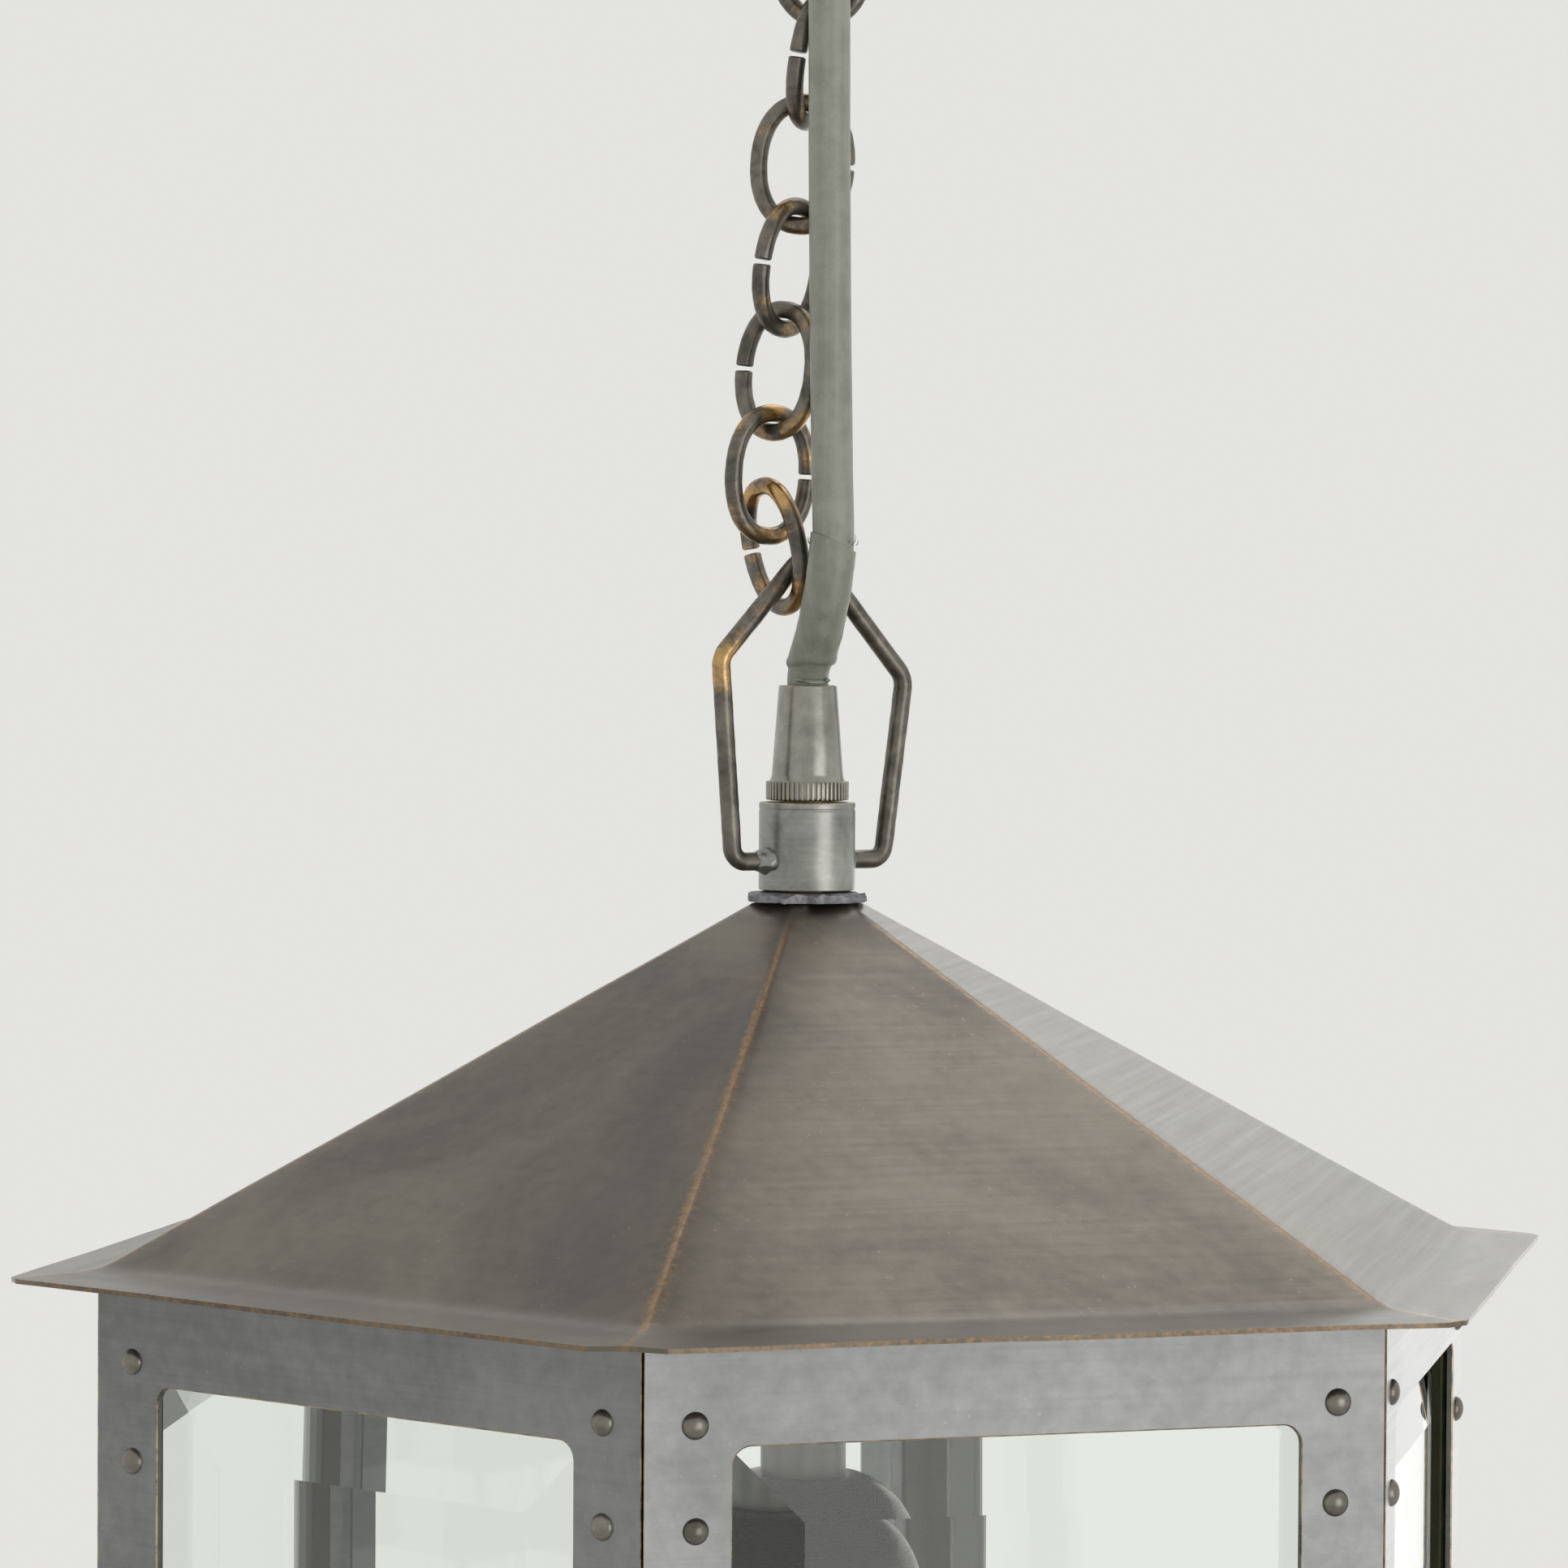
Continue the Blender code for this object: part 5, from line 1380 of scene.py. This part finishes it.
@dataclass
class Roof:
    """Folded six-sided roof with a flared eave, and the nut that draws it up."""

    sheet: float = 0.0009
    top_radius: float = 0.0113
    height: float = 0.0683
    crease_radius: float = 0.1388
    crease_rise: float = 0.0012
    eave_radius: float = 0.1560
    bore: float = 0.0053
    ridge: float = 0.0009
    flare_reach: float = 0.0036
    strips: int = 18
    courses: int = 24
    blunt: tuple[float, ...] = (0.0014, 0.0011, 0.0016, 0.0012, 0.0042, 0.0015)

    def build(self) -> None:
        """Fold the roof and dress its nut."""
        self.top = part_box("roof_shell")[1][2]
        self.eave = self.top - self.height
        self.folded()
        dress(Finishes.HINGE, "roof_nut")

    def section(self) -> list[tuple[float, float]]:
        """(radius, height) along a ridge, its crease drawn into a soft curve."""
        top = Vector((self.top_radius, self.top))
        crease = Vector((self.crease_radius, self.eave + self.crease_rise))
        rim = Vector((self.eave_radius, self.eave))
        start = crease + (top - crease).normalized() * self.flare_reach
        end = crease + (rim - crease).normalized() * self.flare_reach
        curve = []
        for count in range(7):
            share = count / 6.0
            curve.append(start.lerp(crease, share).lerp(crease.lerp(end, share), share))
        inner = rim + (crease - rim).normalized() * 0.0012
        return [tuple(point) for point in (top, *curve, inner, rim)]

    def reach(self, co: Vector) -> float:
        """Radius of the hexagon, to its corners, that passes through a point."""
        faces = (math.radians(30.0 + 60.0 * count) for count in range(SIDES))
        return max(co.x * math.cos(turn) + co.y * math.sin(turn) for turn in faces) / math.cos(HALF_STEP)

    def off_ridge(self, co: Vector) -> float:
        """Distance of a point from the nearest ridge, across the roof."""
        turn = math.atan2(co.y, co.x) % STEP
        return math.hypot(co.x, co.y) * math.sin(min(turn, STEP - turn))

    def folded(self) -> None:
        """Fold the sheet, blunt its corners, dent it a little and give it its thickness."""
        work = bmesh.new()
        section = self.section()
        turn = Matrix.Rotation(HALF_STEP, 4, "Z")
        bmesh.ops.create_circle(work, segments=SIDES, radius=section[0][0],
                                matrix=Matrix.Translation((0.0, 0.0, section[0][1])) @ turn)
        edges = list(work.edges)
        for (radius, height), (wider, lower) in zip(section, section[1:]):
            grow = wider / radius
            move = (Matrix.Translation((0.0, 0.0, lower)) @ Matrix.Diagonal((grow, grow, 1.0, 1.0))
                    @ Matrix.Translation((0.0, 0.0, -height)))
            _verts, edges = grow_ring(work, edges, move)
        ridges = [edge for edge in work.edges
                  if abs(edge.verts[0].co.xy.length - edge.verts[1].co.xy.length) > 0.0001]
        bmesh.ops.bevel(work, geom=ridges, offset=self.ridge, offset_type="OFFSET", segments=3,
                        profile=0.5, affect="EDGES", material=-1, clamp_overlap=True)
        self.slice(work, section)
        edges = [edge for edge in work.edges if edge.is_boundary
                 and all(vert.co.z > self.top - 0.0001 for vert in edge.verts)]
        verts, _edges = grow_ring(work, edges, Matrix.Identity(4))
        for vert in verts:
            flat = vert.co.xy.normalized() * self.bore
            vert.co.x, vert.co.y = flat
        bmesh.ops.remove_doubles(work, verts=work.verts, dist=0.00001)
        bmesh.ops.recalc_face_normals(work, faces=work.faces)
        if sum(face.normal.z for face in work.faces) < 0.0:
            bmesh.ops.reverse_faces(work, faces=work.faces)
        for vert in work.verts:
            fade = smooth_step(vert.co.xy.length, 0.016, 0.045)
            wave = 0.00034 * noise.noise(vert.co * 17.0) + 0.00009 * noise.noise(vert.co * 60.0)
            vert.co.z += fade * wave
        bmesh.ops.solidify(work, geom=work.faces[:], thickness=self.sheet)

        def wear(co: Vector) -> float:
            """Rubbed along the ridges and the rim of the eave."""
            ridge = 0.84 * (1.0 - smooth_step(self.off_ridge(co), 0.0003, 0.0018))
            rim = 0.62 * smooth_step(self.reach(co), self.eave_radius - 0.0010, self.eave_radius - 0.0004)
            return max(ridge * smooth_step(co.xy.length, 0.010, 0.020), rim)

        put("roof_sheet", work, Finishes.ROOF, Body.LANTERN, ["roof_shell"], wear=wear, angle=50.0)

    def slice(self, work: bmesh.types.BMesh, section: Profile) -> None:
        """Cut the faces into strips and courses, and blunt the eave's corners.

        Args:
            work: The folded mesh.
            section: The section along a ridge.
        """
        planes = []
        for face in range(SIDES // 2):
            for count in range(1, self.strips):
                slide = (2.0 * count / self.strips - 1.0) * math.tan(HALF_STEP)
                turn = math.radians(30.0) + STEP * face + math.atan(slide)
                planes.append(((0.0, 0.0, 0.0), (-math.sin(turn), math.cos(turn), 0.0)))
        for count in range(1, self.courses):
            drop = (section[1][1] - section[0][1]) * count / self.courses
            planes.append(((0.0, 0.0, section[0][1] + drop), (0.0, 0.0, 1.0)))
        for place, facing in planes:
            bmesh.ops.bisect_plane(work, geom=work.verts[:] + work.edges[:] + work.faces[:],
                                   dist=0.000001, plane_co=place, plane_no=facing)
        for count, cut in enumerate(self.blunt):
            corner = Vector((math.cos(STEP * count), math.sin(STEP * count), 0.0))
            bmesh.ops.bisect_plane(work, geom=work.verts[:] + work.edges[:] + work.faces[:],
                                   dist=0.000001, plane_co=corner * (self.eave_radius - cut),
                                   plane_no=corner, clear_outer=True)


@dataclass
class FaceFrame:
    """Sheet frame of one face, with its window and its eight rivets."""

    index: int
    middle: float
    headroom: float = 0.0
    height: float = 0.2900
    rail: float = 0.0190
    stile: float = 0.0164
    window_corner: float = 0.0035
    sheet: float = 0.0012
    broken_edge: float = 0.00025
    rivet_radius: float = 0.00245
    rivet_rise: float = 0.0015
    rivet_in: float = 0.0096
    rivet_first: float = 0.0150
    rivet_pitch: float = 0.0183

    def build(self, name: str, body: Body, node: str) -> None:
        """Build the sheet and its rivets.

        Args:
            name: Start of the pieces' names.
            body: The body they ride on.
            node: CAD node that the sheet replaces.
        """
        place = face_frame(self.index, 0.0, self.middle)
        sheet = self.cut_sheet()
        bmesh.ops.transform(sheet, matrix=place, verts=sheet.verts)
        put(name + "_sheet", sheet, Finishes.FRAME, body, [node], Finishes.EDGE, angle=20.0)
        heads = self.heads()
        bmesh.ops.transform(heads, matrix=place, verts=heads.verts)
        put(name + "_rivets", heads, Finishes.RIVET, body, angle=60.0)

    def cut_sheet(self) -> bmesh.types.BMesh:
        """Flat sheet with a rounded window, its long edges mitred and its edges broken."""
        half = FACE_WIDTH / 2.0 - CLEARANCE / 2.0 / math.cos(HALF_STEP)
        window = (FACE_WIDTH / 2.0 - self.stile, self.height / 2.0 - self.rail)
        work = bmesh.new()
        corners = [work.verts.new((window[0] * x, window[1] * y, 0.0))
                   for x, y in ((-1, -1), (1, -1), (1, 1), (-1, 1))]
        work.faces.new(corners)
        bmesh.ops.bevel(work, geom=corners, offset=self.window_corner, offset_type="OFFSET",
                        segments=8, profile=0.5, affect="VERTICES", material=-1)
        opening = work.faces[:]
        verts, _edges = grow_ring(work, work.edges[:], Matrix.Identity(4))
        for vert in verts:
            top = self.height / 2.0 - (self.headroom if vert.co.y > 0.0 else 0.0)
            vert.co = (math.copysign(half, vert.co.x), math.copysign(top, vert.co.y), 0.0)
        bmesh.ops.delete(work, geom=opening, context="FACES_ONLY")
        bmesh.ops.remove_doubles(work, verts=work.verts, dist=0.00001)
        grown = bmesh.ops.extrude_face_region(work, geom=work.faces[:], use_keep_orig=True)["geom"]
        back = [item for item in grown if isinstance(item, bmesh.types.BMVert)]
        for vert in back:
            vert.co.z = -self.sheet
            if abs(vert.co.x) > half - 0.00001:
                vert.co.x -= math.copysign(self.sheet * math.tan(HALF_STEP), vert.co.x)
        bmesh.ops.recalc_face_normals(work, faces=work.faces)
        rims = [edge for edge in work.edges if all(abs(vert.co.z) < 0.00001 for vert in edge.verts)
                and sum(abs(face.normal.z) > 0.9 for face in edge.link_faces) == 1]
        bmesh.ops.bevel(work, geom=rims, offset=self.broken_edge, offset_type="OFFSET", segments=2,
                        profile=0.5, affect="EDGES", material=1)
        return work

    def heads(self) -> bmesh.types.BMesh:
        """Eight domed rivet heads, no two set quite alike."""
        rng = random.Random(31 + self.index)
        radius, rise, foot = self.rivet_radius, self.rivet_rise, -0.0002
        dome = [(radius * math.sin(math.radians(turn)), rise * math.cos(math.radians(turn)) ** 1.15)
                for turn in range(0, 86, 9)]
        section = dome + [(radius, 0.00012), (radius, foot), (0.0, foot)]
        works = []
        for side in (-1.0, 1.0):
            for end in (-1.0, 1.0):
                for count in range(2):
                    up = self.height / 2.0 - self.rivet_first - self.rivet_pitch * count
                    head = lathed(section, 28, False)
                    lean = Matrix.Rotation(rng.uniform(-0.06, 0.06), 4, (rng.random(), 1.0, 0.0))
                    size = Matrix.Scale(rng.uniform(0.96, 1.03), 4)
                    place = (side * (FACE_WIDTH / 2.0 - self.rivet_in) + rng.uniform(-0.0002, 0.0002),
                             end * up + rng.uniform(-0.0002, 0.0002), 0.0)
                    bmesh.ops.transform(head, matrix=Matrix.Translation(place) @ lean @ size,
                                        verts=head.verts)
                    works.append(head)
        return joined(works)


@dataclass
class GlazedBody:
    """Five fixed faces, their glass, the posts behind them and the base."""

    base_radius: float = 0.1425
    base_sheet: float = 0.0015
    vent_radius: float = 0.0300
    bead: float = 0.0011

    def build(self) -> None:
        """Build the faces and the base, and dress the posts and the glass."""
        low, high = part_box("face_frame_1")
        middle = (low[2] + high[2]) / 2.0
        for number, index in enumerate((0, 1, 2, 4, 5), start=1):
            FaceFrame(index, middle).build("face_" + str(number), Body.LANTERN,
                                           "face_frame_" + str(number))
            dress(Finishes.GLASS, "glass_pane_" + str(number))
        dress(Finishes.INNER, "top_ring", *("corner_post_" + str(number) for number in range(1, 7)))
        self.base()

    def base(self) -> None:
        """Base plate with a beaded vent and the rivets that hold it to the posts."""
        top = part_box("base_plate")[1][2]
        work = bmesh.new()
        bmesh.ops.create_circle(work, segments=48, radius=self.vent_radius,
                                matrix=Matrix.Translation((0.0, 0.0, top)))
        verts, _edges = grow_ring(work, work.edges[:], Matrix.Identity(4))
        for vert in verts:
            turn = math.atan2(vert.co.y, vert.co.x) % STEP - HALF_STEP
            reach = self.base_radius * math.cos(HALF_STEP) / math.cos(turn)
            vert.co.x, vert.co.y = vert.co.xy.normalized() * reach
        grown = bmesh.ops.extrude_face_region(work, geom=work.faces[:], use_keep_orig=True)["geom"]
        for vert in (item for item in grown if isinstance(item, bmesh.types.BMVert)):
            vert.co.z -= self.base_sheet
        bmesh.ops.recalc_face_normals(work, faces=work.faces)
        rims = [edge for edge in work.edges
                if sum(abs(face.normal.z) > 0.9 for face in edge.link_faces) == 1]
        bmesh.ops.bevel(work, geom=rims, offset=0.0003, offset_type="OFFSET", segments=2,
                        profile=0.5, affect="EDGES", material=1)
        put("base_sheet", work, Finishes.FRAME, Body.LANTERN, ["base_plate"], Finishes.EDGE,
            angle=20.0)
        low = top - self.base_sheet
        ring = lathed(arc((self.vent_radius + self.bead, low - self.bead * 0.4), self.bead,
                          0.0, 337.5, 15), 96)
        put("vent_bead", ring, Finishes.ROSE, Body.LANTERN, wear=lambda co: 0.45)
        heads = []
        for count in range(SIDES):
            head = lathed([(0.0, -0.0010), (0.0010, -0.0009), (0.0017, -0.0005), (0.0020, 0.0),
                           (0.0020, 0.0002), (0.0, 0.0002)], 24, False)
            place = Vector((math.cos(STEP * count), math.sin(STEP * count), 0.0)) * (
                BODY_RADIUS - 0.0085)
            place.z = low
            bmesh.ops.translate(head, vec=place, verts=head.verts)
            heads.append(head)
        put("base_rivets", joined(heads), Finishes.RIVET, Body.LANTERN, angle=60.0)


@dataclass
class Door:
    """Hinged back face with its knob and catch."""

    index: int = 3
    headroom: float = 0.0016
    knob_in: float = 0.0084
    knob_radius: float = 0.0050
    knob_reach: float = 0.0095
    shank: float = 0.0014
    screw_in: float = 0.0052
    screw_radius: float = 0.0011

    def build(self) -> None:
        """Build the door and dress its hinges."""
        low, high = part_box("face_frame_1")
        self.middle = (low[2] + high[2]) / 2.0
        FaceFrame(self.index, self.middle, self.headroom).build("door", Body.DOOR, "door_frame")
        dress(Finishes.GLASS, "door_glass")
        dress(Finishes.HINGE, "door_leaf_upper", "door_leaf_lower", "frame_leaf_upper",
              "frame_leaf_lower", "hinge_pin_upper", "hinge_pin_lower")
        dress(Finishes.ZINC, "door_catch")
        self.knob()
        self.screws("door_leaf_screws", self.index, 1.0, Body.DOOR, "door_leaf_")
        self.screws("frame_leaf_screws", self.index + 1, -1.0, Body.LANTERN, "frame_leaf_")

    def knob(self) -> None:
        """Turned knob on a short shank."""
        reach, radius, foot = self.knob_reach, self.knob_radius, CLEARANCE
        section = [(0.0, reach + radius * 0.02)]
        section += [(x, reach - radius * 0.6 + z * 0.6)
                    for x, z in arc((0.0, 0.0), radius, 84.0, -64.0, 22)]
        section += arc((self.shank * 1.4 + 0.0009, foot + 0.0022), 0.0009, 130.0, 230.0, 5)
        section += [(self.shank * 1.9, foot + 0.0007), (self.shank * 2.0, foot + 0.0005),
                    (self.shank * 2.0, foot), (self.shank, foot), (self.shank, -0.0016), (0.0, -0.0016)]
        work = lathed(section, 48, False)
        across = -(FACE_WIDTH / 2.0 - self.knob_in)
        place = face_frame(self.index, 0.0, self.middle) @ Matrix.Translation((across, 0.0, 0.0))
        bmesh.ops.transform(work, matrix=place, verts=work.verts)
        back = place.inverted()
        put("knob_turned", work, Finishes.HINGE, Body.DOOR, ["door_knob"],
            wear=lambda co: 0.9 * smooth_step((back @ co).z, reach - 0.003, reach - 0.0005))

    def screws(self, name: str, face: int, side: float, body: Body, leaves: str) -> None:
        """Small screw heads on two hinge leaves.

        Args:
            name: The piece's name.
            face: The face that the leaves lie on.
            side: The side of that face.
            body: The body they ride on.
            leaves: Start of the leaves' names.
        """
        heads = []
        across = side * (FACE_WIDTH / 2.0 - self.screw_in)
        for place in ("upper", "lower"):
            low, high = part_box(leaves + place)
            for share in (0.27, 0.73):
                up = low[2] + (high[2] - low[2]) * share
                head = lathed([(0.0, 0.0005), (self.screw_radius * 0.6, 0.00045),
                               (self.screw_radius, 0.0001), (self.screw_radius, -0.0001),
                               (0.0, -0.0001)], 20, False)
                matrix = face_frame(face, -(CLEARANCE + 0.0010), up)
                bmesh.ops.transform(head, matrix=matrix @ Matrix.Translation((across, 0.0, 0.0)),
                                    verts=head.verts)
                heads.append(head)
        put(name, joined(heads), Finishes.RIVET, body, angle=50.0)


@dataclass
class Lamp:
    """Stem, bell cup, lampholder and screw lamp inside the body."""

    stem_radius: float = 0.00825
    stem_wall: float = 0.0010
    cup_radius: float = 0.0230
    cup_wall: float = 0.0008
    cup_shoulder: float = 0.0180
    holder_radius: float = 0.0175
    holder_bore: float = 0.0138
    holder_roof: float = 0.0060
    boss_radius: float = 0.0085
    boss_height: float = 0.0100
    thread: float = 0.0050
    cap_radius: float = 0.0132
    cap_tip: float = 0.0048
    pitch: float = 0.0036
    glass_wall: float = 0.0006

    def build(self) -> None:
        """Build the lamp from the stem down."""
        self.stem()
        self.cup()
        self.holder()
        self.cap()
        self.envelope()

    def stem(self) -> None:
        """Plain tube that covers the threaded one."""
        low, high = (corner[2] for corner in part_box("stem_tube"))
        inner = self.stem_radius - self.stem_wall
        section = eased([(inner, high), (self.stem_radius, high), (self.stem_radius, low),
                         (inner, low)], 0.0003)
        put("stem_cover", lathed(section, 64), Finishes.STEM, Body.LANTERN, ["stem_tube"])

    def cup(self) -> None:
        """Spun bell cup with a rolled rim."""
        low, high = (corner[2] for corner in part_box("lampholder_cup"))
        hole, crown, wall = self.thread + CLEARANCE, self.stem_radius + 0.0006, self.cup_wall
        outer = [(hole, high), (crown, high)]
        outer += [(crown + (self.cup_radius - crown) * math.sin(turn),
                   high - self.cup_shoulder * (1.0 - math.cos(turn)))
                  for turn in (math.radians(7.5 * count) for count in range(1, 13))]
        outer += arc((self.cup_radius - 0.0002, low + 0.0008), 0.0008, 60.0, -180.0, 10)
        inner = [(self.cup_radius - wall, low + 0.0014)]
        inner += [(max(hole + 0.0004, radius - wall), height - wall)
                  for radius, height in reversed(outer[1:14])]
        inner.append((hole, high - wall))
        put("cup_bell", lathed(outer + inner, 96), Finishes.CUP, Body.LANTERN, ["lampholder_cup"],
            wear=lambda co: 0.5 * (1.0 - smooth_step(co.z, low, low + 0.0012)))

    def holder(self) -> None:
        """Moulded lampholder with grip rings round its skirt."""
        low, high = (corner[2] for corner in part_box("lampholder"))
        hole, shoulder = self.thread + CLEARANCE, high - self.boss_height
        section = [(hole, high), (self.boss_radius - 0.0016, high), (self.boss_radius, high - 0.0016),
                   (self.boss_radius, shoulder + 0.0010), (self.holder_radius, shoulder - 0.0030)]
        for count in range(5):
            ring = shoulder - 0.0070 - 0.0030 * count
            section += [(self.holder_radius, ring + 0.0007), (self.holder_radius - 0.0005, ring),
                        (self.holder_radius, ring - 0.0007)]
        section += [(self.holder_radius, low), (self.holder_bore, low),
                    (self.holder_bore, shoulder - self.holder_roof),
                    (hole, shoulder - self.holder_roof)]
        put("holder_shell", lathed(eased(section, 0.0004, 3), 96), Finishes.BLACK, Body.LANTERN,
            ["lampholder"])

    def cap(self) -> None:
        """Lamp cap with a rolled screw thread and its contact."""
        low, high = (corner[2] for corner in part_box("bulb_cap"))
        start = high - 0.0065
        rows = [start - (start - low) * count / 36.0 for count in range(37)]
        section = [(0.0, high), (self.cap_tip * 0.8, high), (self.cap_tip, high - 0.0008),
                   (self.cap_tip + 0.0012, high - 0.0014), (self.cap_radius - 0.0030, high - 0.0036),
                   (self.cap_radius - 0.0012, high - 0.0052)]
        section += [(self.cap_radius, row) for row in rows] + [(0.0, low)]
        work = lathed(section, 72, False)
        for vert in work.verts:
            flat = vert.co.xy
            if flat.length > self.cap_radius - 0.0001:
                turns = vert.co.z / self.pitch + math.atan2(flat.y, flat.x) / math.tau
                fade = (smooth_step(start - vert.co.z, 0.0, 0.0015)
                        * smooth_step(vert.co.z - low, 0.0008, 0.0030))
                depth = 0.00045 * (1.0 - math.cos(math.tau * turns)) * fade
                vert.co.x, vert.co.y = flat * (1.0 - depth / flat.length)
        put("lamp_cap", work, Finishes.NICKEL, Body.BULB, ["bulb_cap"], angle=60.0)

    def envelope(self) -> None:
        """Thin glass bulb with a mount, two wires and a filament inside."""
        low, high = (corner[2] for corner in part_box("bulb_glass"))
        radius = (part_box("bulb_glass")[1][0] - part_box("bulb_glass")[0][0]) / 2.0
        neck, centre = self.cap_radius - 0.0006, low + radius
        knots = [Vector((neck, 0.0, high)), Vector((neck, 0.0, high - 0.006)),
                 Vector((neck + 0.0030, 0.0, high - 0.014)),
                 *(Vector((radius * math.cos(math.radians(turn)), 0.0,
                           centre + radius * math.sin(math.radians(turn))))
                   for turn in range(40, -81, -15))]
        line = smooth_route(knots + [Vector((0.0, 0.0, low))], 0.0022)
        outer = [(max(0.0, point.x), point.z) for point in line]
        wall = self.glass_wall
        middle = Vector((0.0, centre))
        inner = []
        for spot in reversed(outer[:-1]):
            point = Vector(spot)
            aim = middle if point.y < centre else Vector((0.0, point.y))
            inner.append(tuple(point + (aim - point).normalized() * wall))
        inner = [(0.0, low + wall)] + inner
        work = lathed(outer[::-1] + inner[::-1], 72, False)
        put("lamp_envelope", work, Finishes.LAMP_GLASS, Body.BULB, ["bulb_glass"], angle=60.0)
        self.mount(high, centre)

    def mount(self, high: float, centre: float) -> None:
        """Glass mount, lead wires and a hanging filament.

        Args:
            high: Height of the bulb's neck.
            centre: Height of the bulb's middle.
        """
        base = high - 0.0015
        post = lathed(eased([(0.0, base), (0.0075, base), (0.0045, base - 0.010),
                             (0.0024, base - 0.016), (0.0020, base - 0.026), (0.0, base - 0.028)],
                            0.001, 3), 40, False)
        put("lamp_mount", post, Finishes.LAMP_GLASS, Body.BULB, angle=60.0)
        works, half, ends = [], 0.0105, centre + 0.002
        for side in (-1.0, 1.0):
            line = [Vector((side * 0.0016, 0.0, base - 0.020)),
                    Vector((side * 0.0030, 0.0, base - 0.030)), Vector((side * half, 0.0, ends))]
            works.append(rod(smooth_route(line, 0.0015), 0.00028, 10))
        coil = []
        for count in range(321):
            share = count / 320.0
            sag = 0.0035 * math.sin(math.pi * share)
            bow = Vector((half * (2.0 * share - 1.0), 0.0, ends - sag))
            turn = math.tau * 40.0 * share
            coil.append(bow + Vector((0.0, 0.00045 * math.cos(turn), 0.00045 * math.sin(turn))))
        works.append(rod(coil, 0.00009, 6))
        put("lamp_filament", joined(works), Finishes.TUNGSTEN, Body.BULB)


def main() -> None:
    """Build the lantern's sub-assemblies in order and note the size of what was built."""
    logging.basicConfig(level=logging.INFO, format="%(message)s")
    for assembly in (Studio(), Flex(), CeilingFitting(), Chain(), Bail(), Collar(), Roof(),
                     GlazedBody(), Door(), Lamp()):
        LOG.info("building %s", type(assembly).__name__)
        assembly.build()


if __name__ == "__main__":
    main()
